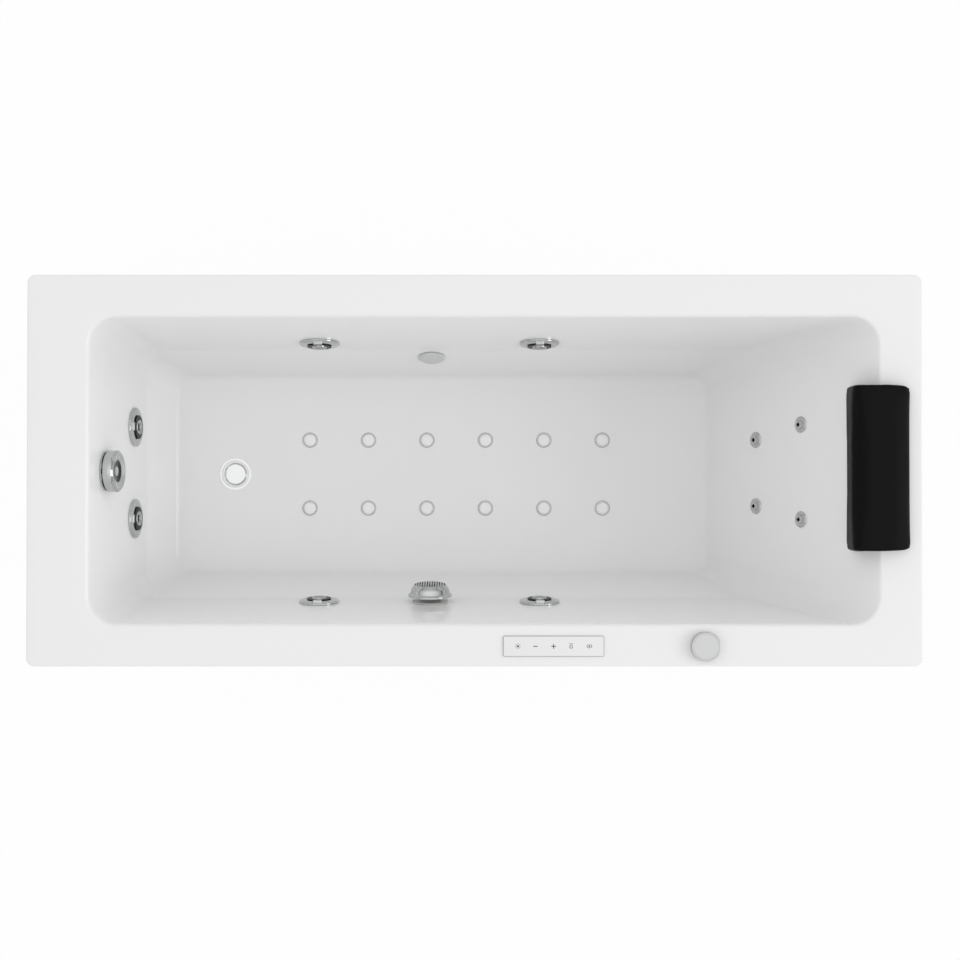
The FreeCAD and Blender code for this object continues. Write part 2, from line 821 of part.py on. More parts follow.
def jet_face(seat):
    """The turning chrome face of a jet: a coned ring with a finger tab at its upper side."""
    inner = jet_bore_radius - fixed_clearance + moving_gap
    under = jet_flange_thickness + moving_gap
    top = jet_lip_height - moving_gap
    ring = turned([
        (inner, under),
        (jet_flange_radius + moving_gap, under),
        (jet_flange_radius + moving_gap, moving_gap),
        (jet_face_radius, moving_gap),
        (jet_face_radius, jet_face_edge),
        (jet_face_radius - jet_face_edge, top - jet_face_fall),
        (inner + jet_lip_overhang + jet_face_fall, top),
        (inner, top),
    ])
    tab = block((-jet_tab_width / 2, jet_face_radius - jet_tab_length, under + 1),
                (jet_tab_width / 2, jet_face_radius - 1, top + jet_tab_rise))
    return seated(fused([ring, tab]), seat)


def jet_nozzle(seat):
    """The eyeball nozzle: a ball cut flat front and back, bored for the water."""
    centre = Vector(0, 0, jet_ball_centre)
    ball = Part.makeSphere(jet_ball_radius, centre)
    thickness = jet_ball_front + jet_ball_back
    slab = Part.makeCylinder(2 * jet_ball_radius, thickness, centre - Vector(0, 0, jet_ball_back))
    bore = Part.makeCylinder(jet_outlet_radius, 4 * jet_ball_radius, centre - Vector(0, 0, 2 * jet_ball_radius))
    return seated(ball.common(slab).cut(bore), seat)


def jet_bodies():
    """The body behind the wall at each jet: a cup, a tee for the water pipe and an air barb."""
    behind = -shell_wall - seal_thickness
    cup = turned([
        (0, behind - jet_body_length),
        (jet_body_radius, behind - jet_body_length),
        (jet_body_radius, behind - jet_flange_back),
        (jet_face_radius, behind - jet_flange_back),
        (jet_face_radius, behind),
        (0, behind),
    ])
    tee = rod(water_pipe_radius + jet_socket_wall, (-jet_socket_reach, 0, -jet_pipe_setback),
              (jet_socket_reach, 0, -jet_pipe_setback))
    barb = rod(jet_barb_radius, (0, jet_body_radius - 4, -jet_barb_setback),
               (0, jet_body_radius + jet_barb_length, -jet_barb_setback))
    cavity = turned([
        (0, behind - jet_body_length + jet_socket_wall),
        (jet_bore_radius, behind - jet_body_length + jet_socket_wall),
        (jet_bore_radius, -jet_thread_reach - fixed_clearance),
        (jet_hole_radius, -jet_thread_reach - fixed_clearance),
        (jet_hole_radius, behind),
        (0, behind),
    ])
    waterway = rod(water_pipe_radius - water_pipe_wall, (-jet_socket_reach, 0, -jet_pipe_setback),
                   (jet_socket_reach, 0, -jet_pipe_setback))
    sockets = [rod(water_pipe_radius + fixed_clearance, (side * jet_socket_stop, 0, -jet_pipe_setback),
                   (side * jet_socket_reach, 0, -jet_pipe_setback)) for side in (-1, 1)]
    body = fused([cup, tee, barb]).cut([cavity, waterway] + sockets)
    return group([seated(body, seat) for seat in jet_seats])


def seal_ring(inner, outer):
    """A flat sealing ring just behind the shell wall."""
    return turned([
        (inner, -shell_wall - seal_thickness),
        (outer, -shell_wall - seal_thickness),
        (outer, -shell_wall),
        (inner, -shell_wall),
    ])


def fitting_seals():
    """The rubber rings behind the wall: jets, suction, light, overflow and waste."""
    jet_seal = seal_ring(jet_hole_radius, jet_face_radius - 1)
    seals = [seated(jet_seal, seat) for seat in jet_seats + [suction_seat]]
    seals.append(seated(seal_ring(light_hole_radius, light_back_radius), light_seat))
    seals.append(seated(seal_ring(overflow_hole_radius, jet_face_radius - 1), overflow_seat))
    waste_seal = seal_ring(waste_hole_radius, trap_flange_radius)
    seals.append(seated(waste_seal, waste_seat))
    return group(seals)


# ---- small back jets and floor air jets -------------------------------------------------------

def micro_jet_flanges():
    """The chrome flange and threaded tube of each back jet."""
    thread = micro_jet_hole_radius - fixed_clearance
    outline = [
        (micro_nozzle_radius - micro_seat_step, -micro_thread_reach),
        (thread, -micro_thread_reach),
        (thread, 0),
        (micro_jet_radius, 0),
        (micro_jet_radius, micro_flange_thickness / 2),
        (micro_jet_radius - micro_edge_bevel, micro_flange_thickness),
        (micro_nozzle_radius + running_clearance, micro_flange_thickness),
        (micro_nozzle_radius + running_clearance, -micro_nozzle_depth),
        (micro_nozzle_radius - micro_seat_step, -micro_nozzle_depth),
    ]
    return group([seated(turned(outline), seat) for seat in micro_seats])


def micro_nozzle(seat):
    """The turning nozzle of a back jet, with its outlet off centre."""
    nozzle = turned([
        (0, -micro_nozzle_depth + moving_gap),
        (micro_nozzle_radius, -micro_nozzle_depth + moving_gap),
        (micro_nozzle_radius, micro_flange_thickness),
        (micro_nozzle_radius - micro_nozzle_bevel, micro_flange_thickness + micro_nozzle_rise),
        (0, micro_flange_thickness + micro_nozzle_rise),
    ])
    outlet = Part.makeCylinder(micro_outlet_radius, 4 * micro_nozzle_depth,
                               Vector(0, -micro_nozzle_radius / 2, -2 * micro_nozzle_depth))
    return seated(nozzle.cut(outlet), seat)


def micro_jet_bodies():
    """The nut and elbow behind each back jet, with its hose barb downwards."""
    bore = micro_jet_hole_radius
    elbow_radius = bore + micro_elbow_wall
    cup = turned([
        (0, -micro_body_length),
        (elbow_radius, -micro_body_length),
        (elbow_radius, -shell_wall * 2),
        (micro_jet_radius, -shell_wall * 2),
        (micro_jet_radius, -shell_wall),
        (bore, -shell_wall),
        (bore, -micro_thread_reach - fixed_clearance),
        (micro_nozzle_radius - micro_seat_step, -micro_thread_reach - fixed_clearance),
        (micro_nozzle_radius - micro_seat_step, micro_body_wall - micro_body_length),
        (0, micro_body_wall - micro_body_length),
    ])
    barb_height = jet_barb_radius + 1 - micro_body_length
    barb = rod(jet_barb_radius, (0, micro_body_wall - elbow_radius, barb_height),
               (0, -elbow_radius - jet_barb_length, barb_height))
    return group([seated(fused([cup, barb]), seat) for seat in micro_seats])


def back_jet_rail():
    """The rail under the four back jets: a branch to each barb, and a feed pipe to the pressure pipe."""
    barb_height = jet_barb_radius + 1 - micro_body_length
    barb_end = -micro_jet_hole_radius - micro_elbow_wall - jet_barb_length
    middle = micro_seats[0].multVec(Vector(0, barb_end - rail_setback, barb_height))
    branches = []
    sockets = []
    for seat in micro_seats:
        end = seat.multVec(Vector(0, barb_end, barb_height))
        grip = seat.multVec(Vector(0, barb_end + hose_grip, barb_height))
        branches.append(rod(jet_barb_radius + hose_wall, grip, (middle.x, end.y, middle.z)))
        sockets.append(rod(jet_barb_radius + fixed_clearance, grip + (grip - end), end))
    rail = rod(rail_radius, (middle.x, -rail_reach, middle.z), (middle.x, rail_reach, middle.z))
    header = jet_pipe_end(jet_seats[1], 1)
    corner = Vector(middle.x + rail_feed_run, 0, middle.z)
    target = Vector(pump_x, 0, header.z)
    rise = (target - corner).normalize()
    feed = pipe([(middle.x, 0, middle.z), corner, target - rise * (water_pipe_radius + jet_socket_wall)],
                jet_barb_radius + hose_wall, air_hose_bend)
    saddle_bore = rod(water_pipe_radius + jet_socket_wall, (pump_x, -rail_reach, header.z),
                      (pump_x, rail_reach, header.z))
    return fused(branches + [rail, feed]).cut(sockets + [saddle_bore])


def at_air_jets(shape):
    """Twelve copies of a piece drawn on the Z axis, its zero at the basin floor."""
    copies = []
    for place in air_jet_places():
        copy = shape.copy()
        copy.translate(place)
        copies.append(copy)
    return group(copies)


def air_jet_rings():
    """The flange and threaded tube of each floor air jet."""
    thread = air_jet_hole_radius - fixed_clearance
    return at_air_jets(turned([
        (air_jet_bore_radius, -air_jet_thread_reach),
        (thread, -air_jet_thread_reach),
        (thread, 0),
        (air_jet_radius, 0),
        (air_jet_radius, air_jet_flange_edge),
        (air_jet_radius - air_jet_flange_bevel, air_jet_flange_thickness),
        (air_jet_bore_radius, air_jet_flange_thickness),
    ]))


def air_jet_caps():
    """The low domed cap of each floor air jet, its stem pushed in the ring."""
    return at_air_jets(turned([
        (0, -air_jet_thread_reach / 3),
        (air_jet_bore_radius - fixed_clearance, -air_jet_thread_reach / 3),
        (air_jet_bore_radius - fixed_clearance, air_jet_flange_thickness),
        (air_jet_cap_radius, air_jet_flange_thickness),
        (air_jet_cap_radius, air_jet_flange_thickness + air_jet_cap_edge),
        (air_jet_cap_radius * air_jet_cap_crown, air_jet_cap_height - air_jet_cap_edge),
        (0, air_jet_cap_height),
    ]))


def air_jet_bodies():
    """The nut and stem below the floor that feed each air jet."""
    bottom = air_riser_top - floor_z
    return at_air_jets(turned([
        (air_jet_hole_radius, -shell_wall),
        (air_jet_nut_radius, -shell_wall),
        (air_jet_nut_radius, -2 * shell_wall),
        (air_stem_radius, -2 * shell_wall),
        (air_stem_radius, bottom),
        (air_jet_bore_radius, bottom),
        (air_jet_bore_radius, -air_jet_thread_reach - fixed_clearance),
        (air_jet_hole_radius, -air_jet_thread_reach - fixed_clearance),
    ]))


def air_manifold():
    """Two tubes under the floor with a riser at each air jet, a cross tube and the blower's hose."""
    first = air_jet_x[0] - 2 * air_tube_radius
    last = board_head_end - 2 * air_tube_radius
    joined = last - 3 * air_tube_radius
    tubes = [rod(air_tube_radius, (first, y, air_tube_height), (last, y, air_tube_height))
             for y in (air_jet_y, -air_jet_y)]
    tubes.append(rod(air_riser_radius, (joined, -air_jet_y, air_tube_height),
                     (joined, air_jet_y, air_tube_height)))
    tubes += [rod(air_riser_radius, (place.x, place.y, air_tube_height), (place.x, place.y, air_riser_top))
              for place in air_jet_places()]
    hose = pipe([
        (last - air_tube_radius, air_jet_y, air_tube_height),
        (cross_rail_x[-1], air_jet_y, air_tube_height),
        (air_hose_x, blower_y, air_tube_height),
        (air_hose_x, blower_y, blower_port_height),
        (blower_x - blower_radius, blower_y, blower_port_height),
    ], air_hose_radius, air_hose_bend)
    return group([fused(tubes + [hose])] + air_line())


def air_line_riser(seat):
    """The tee on the air line above one water jet, and the hose from it down over the jet's barb."""
    upward = seat.Rotation.multVec(Vector(0, 1, 0))
    barb_end = seat.multVec(Vector(0, jet_body_radius + jet_barb_length, -jet_barb_setback))
    top = barb_end + upward * ((rim_height - air_line_depth - barb_end.z) / upward.z)
    along = seat.Rotation.multVec(Vector(air_line_tee, 0, 0))
    sleeve = rod(air_tube_radius + air_line_wall, top - along, top + along)
    hose = rod(jet_barb_radius + hose_wall, barb_end - upward * hose_grip, top)
    barb = rod(jet_barb_radius + fixed_clearance, barb_end - upward * (hose_grip + 1), barb_end)
    line = rod(air_tube_radius + fixed_clearance, top - along * 2, top + along * 2)
    return top, fused([sleeve, hose]).cut([barb, line])


def air_line_elbow(corner, first, second):
    """An elbow of the air line: a bend with a socket at each end for the straight runs."""
    reach = air_line_bend + hose_grip
    elbow = pipe([corner + first * reach, corner, corner + second * reach], air_tube_radius + air_line_wall,
                 air_line_bend)
    sockets = [rod(air_tube_radius + fixed_clearance, corner + way * air_line_bend, corner + way * (reach + 1))
               for way in (first, second)]
    return elbow.cut(sockets)


def air_line():
    """The air line that joins the air valve to the six water jets, round the front, foot and back walls."""
    tops, solids = zip(*[air_line_riser(seat) for seat in jet_seats])
    height = rim_height - air_line_depth
    back_y, front_y, foot_x = tops[0].y, tops[2].y, tops[4].x
    run_start = foot_x + air_line_bend
    front_end = air_knob_x - air_drop_run
    runs = [
        rod(air_tube_radius, (run_start, front_y, height), (front_end, front_y, height)),
        rod(air_tube_radius, (foot_x, front_y + air_line_bend, height),
            (foot_x, back_y - air_line_bend, height)),
        rod(air_tube_radius, (run_start, back_y, height), (tops[1].x + 2 * air_line_tee, back_y, height)),
    ]
    elbows = [air_line_elbow(Vector(foot_x, y, height), Vector(1, 0, 0), Vector(0, side, 0))
              for y, side in ((front_y, 1), (back_y, -1))]
    tail = rim_height - air_valve_length
    drop_sleeve = air_tube_radius + hose_wall
    drop = fused([
        pipe([(air_knob_x, controls_y, tail), (air_knob_x, controls_y, rim_height - air_drop_depth),
              (air_knob_x - air_drop_run * air_drop_share, front_y, height), (front_end, front_y, height)],
             air_tube_radius, air_hose_bend),
        rod(drop_sleeve, (air_knob_x, controls_y, tail - hose_grip / 2),
            (air_knob_x, controls_y, tail + hose_grip)),
        rod(drop_sleeve, (front_end - hose_grip, front_y, height),
            (front_end + hose_grip / 2, front_y, height)),
    ]).cut([
        rod(air_tube_radius + fixed_clearance, (air_knob_x, controls_y, tail),
            (air_knob_x, controls_y, tail + hose_grip + 1)),
        rod(air_tube_radius + fixed_clearance, (front_end - hose_grip - 1, front_y, height),
            (front_end, front_y, height)),
    ])
    return list(solids) + runs + elbows + [drop]


# ---- suction, light, overflow and waste -------------------------------------------------------

def suction_cover():
    """The domed suction cover, slotted so that nothing can close it."""
    wall = suction_cover_wall
    outside = [(suction_radius - inset, suction_height * share) for inset, share in suction_dome]
    inside = [(radius - suction_dome_lean, height - wall) for radius, height in outside[:1:-1]]
    dome = turned([
        (jet_flange_radius + fixed_clearance, 0),
        (suction_radius, 0),
        (suction_radius, suction_flange),
        *outside,
        (0, suction_height),
        (0, suction_height - wall),
        *inside,
        (jet_flange_radius + fixed_clearance, suction_flange + wall),
    ])
    slots = []
    for number in range(-suction_slots_each_side, suction_slots_each_side + 1):
        x = number * suction_slot_pitch
        half_length = math.sqrt((suction_radius - suction_slot_inset) ** 2 - x ** 2)
        slots.append(block((x - suction_slot_width / 2, -half_length, suction_height * suction_slot_floor),
                           (x + suction_slot_width / 2, half_length, suction_height + 1)))
    return seated(dome.cut(slots), suction_seat)


def suction_body():
    """The cup behind the suction, with an elbow down to the suction pipe."""
    behind = -shell_wall - seal_thickness
    depth = suction_setback + suction_pipe_radius + 2 * suction_socket_wall
    cup = turned([
        (0, -depth),
        (jet_body_radius, -depth),
        (jet_body_radius, behind - jet_flange_back),
        (jet_face_radius, behind - jet_flange_back),
        (jet_face_radius, behind),
        (0, behind),
    ])
    elbow = rod(suction_pipe_radius + suction_socket_wall, (0, 0, -suction_setback),
                (0, -suction_socket_reach, -suction_setback))
    cavity = turned([
        (0, -depth + suction_socket_wall),
        (jet_bore_radius, -depth + suction_socket_wall),
        (jet_bore_radius, -jet_thread_reach - fixed_clearance),
        (jet_hole_radius, -jet_thread_reach - fixed_clearance),
        (jet_hole_radius, behind),
        (0, behind),
    ])
    waterway = rod(suction_pipe_radius - suction_socket_wall, (0, 0, -suction_setback),
                   (0, -suction_socket_reach, -suction_setback))
    socket = rod(suction_pipe_radius + fixed_clearance, (0, -suction_socket_stop, -suction_setback),
                 (0, -suction_socket_reach, -suction_setback))
    return seated(fused([cup, elbow]).cut([cavity, waterway, socket]), suction_seat)


def light_lens():
    """The clear lens of the underwater light."""
    return seated(turned([
        (0, 0),
        (light_radius, 0),
        *[(light_radius - inset, height) for inset, height in light_lens_dome],
    ]), light_seat)


def light_housing():
    """The lamp housing behind the wall."""
    neck = light_hole_radius - fixed_clearance
    behind = -shell_wall - seal_thickness
    return seated(turned([
        (0, 0),
        (neck, 0),
        (neck, behind),
        (light_back_radius, behind),
        (light_back_radius, behind - light_housing_length),
        (0, behind - light_housing_length),
    ]), light_seat)


def overflow_flange():
    """The overflow's chrome plate: a hub for the knob's spindle and a ring of water holes."""
    bore = overflow_spindle_radius + running_clearance
    overlap = overflow_plate_thickness / 6
    plate = turned([
        (bore, 0),
        (overflow_plate_radius, 0),
        (overflow_plate_radius, overflow_plate_thickness),
        (bore, overflow_plate_thickness),
    ])
    tube = turned([
        (jet_bore_radius, -overflow_tube_reach),
        (overflow_hole_radius - fixed_clearance, -overflow_tube_reach),
        (overflow_hole_radius - fixed_clearance, overlap),
        (jet_bore_radius, overlap),
    ])
    hub = turned([
        (bore, -overflow_hub_reach),
        (bore + overflow_hub_wall, -overflow_hub_reach),
        (bore + overflow_hub_wall, overlap),
        (bore, overlap),
    ])
    middle = (jet_bore_radius + bore + overflow_hub_wall) / 2
    holes = []
    for number in range(overflow_water_holes):
        angle = 2 * math.pi / overflow_water_holes * number
        centre = (middle * math.cos(angle), middle * math.sin(angle))
        holes.append(rod(overflow_water_hole, (centre[0], centre[1], -1),
                         (centre[0], centre[1], overflow_plate_thickness + 1)))
    return seated(fused([plate, tube, hub]).cut(holes), overflow_seat)


def overflow_knob():
    """The turning overflow knob: a deep chrome cup with a dished front, on a spindle."""
    top = overflow_knob_height
    inner = overflow_knob_radius - overflow_knob_wall
    end = -overflow_hub_reach - overflow_knob_wall / 2
    return seated(turned([
        (0, end),
        (overflow_spindle_radius, end),
        (overflow_spindle_radius, top - overflow_knob_floor),
        (inner, top - overflow_knob_floor),
        (inner, overflow_skirt_height),
        (overflow_knob_radius, overflow_skirt_height),
        *[(overflow_knob_radius - inset, top - drop) for inset, drop in overflow_knob_rim],
        (0, top - overflow_bowl_depth),
    ]), overflow_seat)


def overflow_body():
    """The overflow's housing behind the wall and its pipe down to the trap."""
    behind = -shell_wall - seal_thickness
    depth = overflow_setback + water_pipe_radius + overflow_cup_wall
    cup = turned([
        (0, -depth),
        (jet_body_radius, -depth),
        (jet_body_radius, behind - jet_flange_back),
        (jet_face_radius, behind - jet_flange_back),
        (jet_face_radius, behind),
        (0, behind),
    ])
    cavity = turned([
        (0, overflow_cup_wall - depth),
        (jet_bore_radius, overflow_cup_wall - depth),
        (jet_bore_radius, -overflow_tube_reach - fixed_clearance),
        (overflow_hole_radius, -overflow_tube_reach - fixed_clearance),
        (overflow_hole_radius, behind),
        (0, behind),
    ])
    housing = seated(cup, overflow_seat)
    start = overflow_seat.multVec(Vector(0, 0, -overflow_setback))
    below = overflow_seat.multVec(Vector(0, -jet_body_radius - overflow_drop, -overflow_setback))
    drop = pipe([
        start,
        below,
        (overflow_pipe_x, 0, below.z - overflow_step),
        (overflow_pipe_x, 0, floor_z + overflow_foot_rise),
        (overflow_pipe_x + overflow_foot_run, 0, trap_inlet_height),
        (waste_x - trap_socket_reach + trap_socket_depth, 0, trap_inlet_height),
    ], water_pipe_radius, pipe_bend_radius)
    return fused([housing, drop]).cut(seated(cavity, overflow_seat))


def waste_flange():
    """The waste's chrome flange in the floor: a dished ring, a threaded tube and a spoked hub."""
    thread = waste_hole_radius - fixed_clearance
    bore = waste_plug_radius + moving_gap
    ring = turned([
        (waste_tube_bore, -waste_tube_reach),
        (thread, -waste_tube_reach),
        (thread, 0),
        (waste_flange_radius, 0),
        (waste_flange_radius, waste_edge_height),
        (waste_flange_radius - waste_edge_inset, waste_rim_height),
        (bore + waste_dish_width, waste_dish_height),
        (bore, waste_mouth_height),
        (bore, -waste_seat_drop),
        (waste_tube_bore, -waste_seat_drop),
    ])
    hub_bore = waste_stem_radius + running_clearance
    hub = turned([
        (hub_bore, -waste_hub_bottom),
        (hub_bore + waste_hub_wall, -waste_hub_bottom),
        (hub_bore + waste_hub_wall, -waste_hub_top),
        (hub_bore, -waste_hub_top),
    ])
    spokes = []
    for number in range(waste_spokes):
        bottom = waste_spoke_inset - waste_hub_bottom
        top = -waste_hub_top - waste_spoke_inset
        spoke = block((hub_bore + waste_hub_wall / 3, -waste_spoke_width / 2, bottom),
                      (waste_tube_bore + waste_hub_wall / 3, waste_spoke_width / 2, top))
        spoke.rotate(Vector(0, 0, 0), Vector(0, 0, 1), 360 / waste_spokes * (number + 0.5))
        spokes.append(spoke)
    return seated(fused([ring, hub] + spokes), waste_seat)


def waste_plug():
    """The pop-up plug: a low dome on a stem that slides in the flange's hub."""
    end = -waste_hub_top - waste_stem_grip - waste_plug_lift
    return seated(turned([
        (0, end),
        (waste_stem_radius, end),
        (waste_stem_radius, -moving_gap),
        (waste_plug_radius, -moving_gap),
        *[(waste_plug_radius - inset, height) for inset, height in waste_plug_dome],
    ]), waste_seat)


def waste_trap():
    """The trap under the waste, with the overflow's socket and the outlet tail."""
    top = floor_z - waste_recess_depth - shell_wall - seal_thickness
    tube_end = floor_z - waste_recess_depth - waste_tube_reach - 1
    shell = turned([
        (waste_hole_radius, top),
        (trap_flange_radius, top),
        (trap_flange_radius, top - shell_wall),
        (trap_radius, top - shell_wall),
        (trap_radius, trap_bottom),
        (0, trap_bottom),
        (0, tube_end),
        (waste_hole_radius, tube_end),
    ])
    shell.translate(Vector(waste_x, 0, 0))
    inlet = rod(water_pipe_radius + jet_socket_wall,
                (waste_x - trap_radius + 2 * trap_wall, 0, trap_inlet_height),
                (waste_x - trap_socket_reach, 0, trap_inlet_height))
    collar = rod(outlet_tail_radius + shell_wall, (waste_x, trap_radius - 2 * trap_wall, trap_outlet_height),
                 (waste_x, outlet_tail_start, trap_outlet_height))
    tail = rod(outlet_tail_radius, (waste_x, trap_radius, trap_outlet_height),
               (waste_x, outlet_tail_start + outlet_tail_length, trap_outlet_height))
    cavity = turned([
        (0, trap_bottom + trap_wall),
        (trap_radius - trap_wall, trap_bottom + trap_wall),
        (trap_radius - trap_wall, tube_end),
        (0, tube_end),
    ])
    cavity.translate(Vector(waste_x, 0, 0))
    socket = rod(water_pipe_radius + fixed_clearance,
                 (waste_x - trap_socket_reach + trap_socket_depth + 1, 0, trap_inlet_height),
                 (waste_x - trap_socket_reach, 0, trap_inlet_height))
    inlet_way = rod(water_pipe_radius - water_pipe_wall, (waste_x, 0, trap_inlet_height),
                    (waste_x - trap_socket_reach, 0, trap_inlet_height))
    outlet_way = rod(outlet_tail_radius - trap_wall, (waste_x, 0, trap_outlet_height),
                     (waste_x, outlet_tail_start + outlet_tail_length, trap_outlet_height))
    return fused([shell, inlet, collar, tail]).cut([cavity, socket, inlet_way, outlet_way])


def bowden_cable():
    """The cable that carries the knob's turn to the plug, beside the overflow pipe."""
    offset = water_pipe_radius + cable_radius + cable_pipe_gap
    near_side = offset - cable_radius
    below = math.sqrt(jet_body_radius ** 2 - near_side ** 2) + 2 * moving_gap
    start = overflow_seat.multVec(Vector(offset, -below, -overflow_setback))
    reach = math.sqrt(trap_radius ** 2 - near_side ** 2) + moving_gap
    return pipe([
        start,
        (overflow_pipe_x - cable_setback, offset, start.z - overflow_step),
        (overflow_pipe_x - cable_setback, offset, floor_z + overflow_foot_rise + cable_corner_rise),
        (overflow_pipe_x + overflow_foot_run, offset, trap_inlet_height + cable_rise),
        (waste_x - reach, offset, trap_inlet_height + cable_rise),
    ], cable_radius, pipe_bend_radius)


# ---- pump, pipes and blower --------------------------------------------------------------------

def pump_wet_end():
    """The pump's casing with its inlet and outlet sockets."""
    casing_end = pump_inlet_y + pump_inlet_union + pump_casing_length
    casing = rod(pump_casing_radius, (pump_x, pump_inlet_y + pump_inlet_union, pump_height),
                 (pump_x, casing_end, pump_height))
    rims = [edge for edge in casing.Edges if edge.Curve.TypeId == "Part::GeomCircle"]
    casing = casing.makeFillet(pump_casing_edge, rims)
    inlet = rod(suction_pipe_radius + pump_socket_wall, (pump_x, pump_inlet_y, pump_height),
                (pump_x, casing_end - pump_casing_length / 2, pump_height))
    outlet = rod(water_pipe_radius + pump_socket_wall, (pump_x, pump_outlet_y, pump_height),
                 (pump_x, pump_outlet_y, pump_outlet_top))
    socket = rod(suction_pipe_radius + fixed_clearance, (pump_x, pump_inlet_y, pump_height),
                 (pump_x, pump_inlet_y + pump_socket_depth, pump_height))
    inlet_way = rod(suction_pipe_radius - suction_socket_wall, (pump_x, pump_inlet_y, pump_height),
                    (pump_x, pump_inlet_y + 2 * pump_socket_depth, pump_height))
    outlet_socket = rod(water_pipe_radius + fixed_clearance, (pump_x, pump_outlet_y, pump_outlet_top),
                        (pump_x, pump_outlet_y, pump_outlet_top - pump_socket_depth))
    inlet_width = 2 * (suction_pipe_radius + pump_socket_wall) + union_flat
    inlet_union = hexagon(inlet_width, union_height, suction_pipe_radius)
    inlet_union.rotate(Vector(0, 0, 0), Vector(1, 0, 0), -90)
    inlet_union.translate(Vector(pump_x, pump_inlet_y, pump_height))
    outlet_width = 2 * (water_pipe_radius + pump_socket_wall) + union_flat
    outlet_union = hexagon(outlet_width, union_height, water_pipe_radius)
    outlet_union.translate(Vector(pump_x, pump_outlet_y, pump_outlet_top - union_height))
    bolts = []
    for number in range(casing_bolts):
        bolt = hexagon(casing_bolt_width, casing_bolt_height + pump_casing_edge, 0)
        bolt.rotate(Vector(0, 0, 0), Vector(1, 0, 0), -90)
        bolt.translate(Vector(pump_casing_radius - casing_bolt_inset, casing_end - pump_casing_edge, 0))
        bolt.rotate(Vector(0, 0, 0), Vector(0, 1, 0), 360 / casing_bolts * (number + 0.5))
        bolt.translate(Vector(pump_x, 0, pump_height))
        bolts.append(bolt)
    wet_end = fused([casing, inlet, outlet, inlet_union, outlet_union] + bolts)
    return wet_end.cut([socket, inlet_way, outlet_socket])


def pump_motor():
    """The motor on its foot, with cooling ribs along it and a fan cover at the end."""
    start = pump_inlet_y + pump_inlet_union + pump_casing_length
    end = start + pump_motor_length
    barrel = rod(pump_motor_radius - motor_rib_height, (pump_x, start, pump_height), (pump_x, end, pump_height))
    flange = rod(pump_motor_radius, (pump_x, start, pump_height),
                 (pump_x, start + motor_flange_width, pump_height))
    cover = rod(pump_motor_radius, (pump_x, end - motor_cover_width, pump_height), (pump_x, end, pump_height))
    foot_start = start + 2.5 * motor_flange_width
    foot_end = end - motor_cover_width - motor_flange_width
    foot_half = pump_motor_radius * motor_foot_share
    web_half = pump_motor_radius * motor_web_share
    foot_block = block((pump_x - foot_half, foot_start, tray_top),
                       (pump_x + foot_half, foot_end, tray_top + motor_foot_height))
    web = block((pump_x - web_half, foot_start + motor_foot_height, tray_top),
                (pump_x + web_half, foot_end - motor_foot_height, pump_height))
    out, length, high = terminal_box_size
    box_x = pump_x + pump_motor_radius - motor_rib_height
    box_y = (start + end - length) / 2
    terminal_box = block((pump_x, box_y, pump_height - high / 2),
                         (box_x + out, box_y + length, pump_height + high / 2))
    long_edges = [edge for edge in terminal_box.Edges if not near(edge.Vertexes[0].Y, edge.Vertexes[1].Y)]
    terminal_box = terminal_box.makeFillet(box_corner_radius, long_edges)
    gland = hexagon(2 * cable_gland_radius, cable_gland_height, 0)
    gland.translate(Vector(box_x + out / 2, box_y + length / 2, pump_height - high / 2 - cable_gland_height))
    ribs = []
    for number in range(motor_ribs):
        rib = block((-motor_rib_width / 2, start + motor_flange_width, 0),
                    (motor_rib_width / 2, end - motor_cover_width, pump_motor_radius - 1))
        rib.rotate(Vector(0, 0, 0), Vector(0, 1, 0), 360 / motor_ribs * (number + 0.5))
        rib.translate(Vector(pump_x, 0, pump_height))
        ribs.append(rib)
    slots = []
    for number in range(fan_slots):
        slot = block((-fan_slot_width / 2, end - fan_slot_depth, fan_slot_inner),
                     (fan_slot_width / 2, end + 1, fan_slot_outer))
        slot.rotate(Vector(0, 0, 0), Vector(0, 1, 0), 360 / fan_slots * number)
        slot.translate(Vector(pump_x, 0, pump_height))
        slots.append(slot)
    return fused([barrel, flange, cover, foot_block, web, terminal_box, gland] + ribs).cut(slots)


def jet_pipe_end(seat, side):
    """Where a water pipe's end stands in a jet body's socket, on the X side of the seat."""
    return seat.multVec(Vector(side * (jet_socket_stop + pipe_end_gap), 0, -jet_pipe_setback))


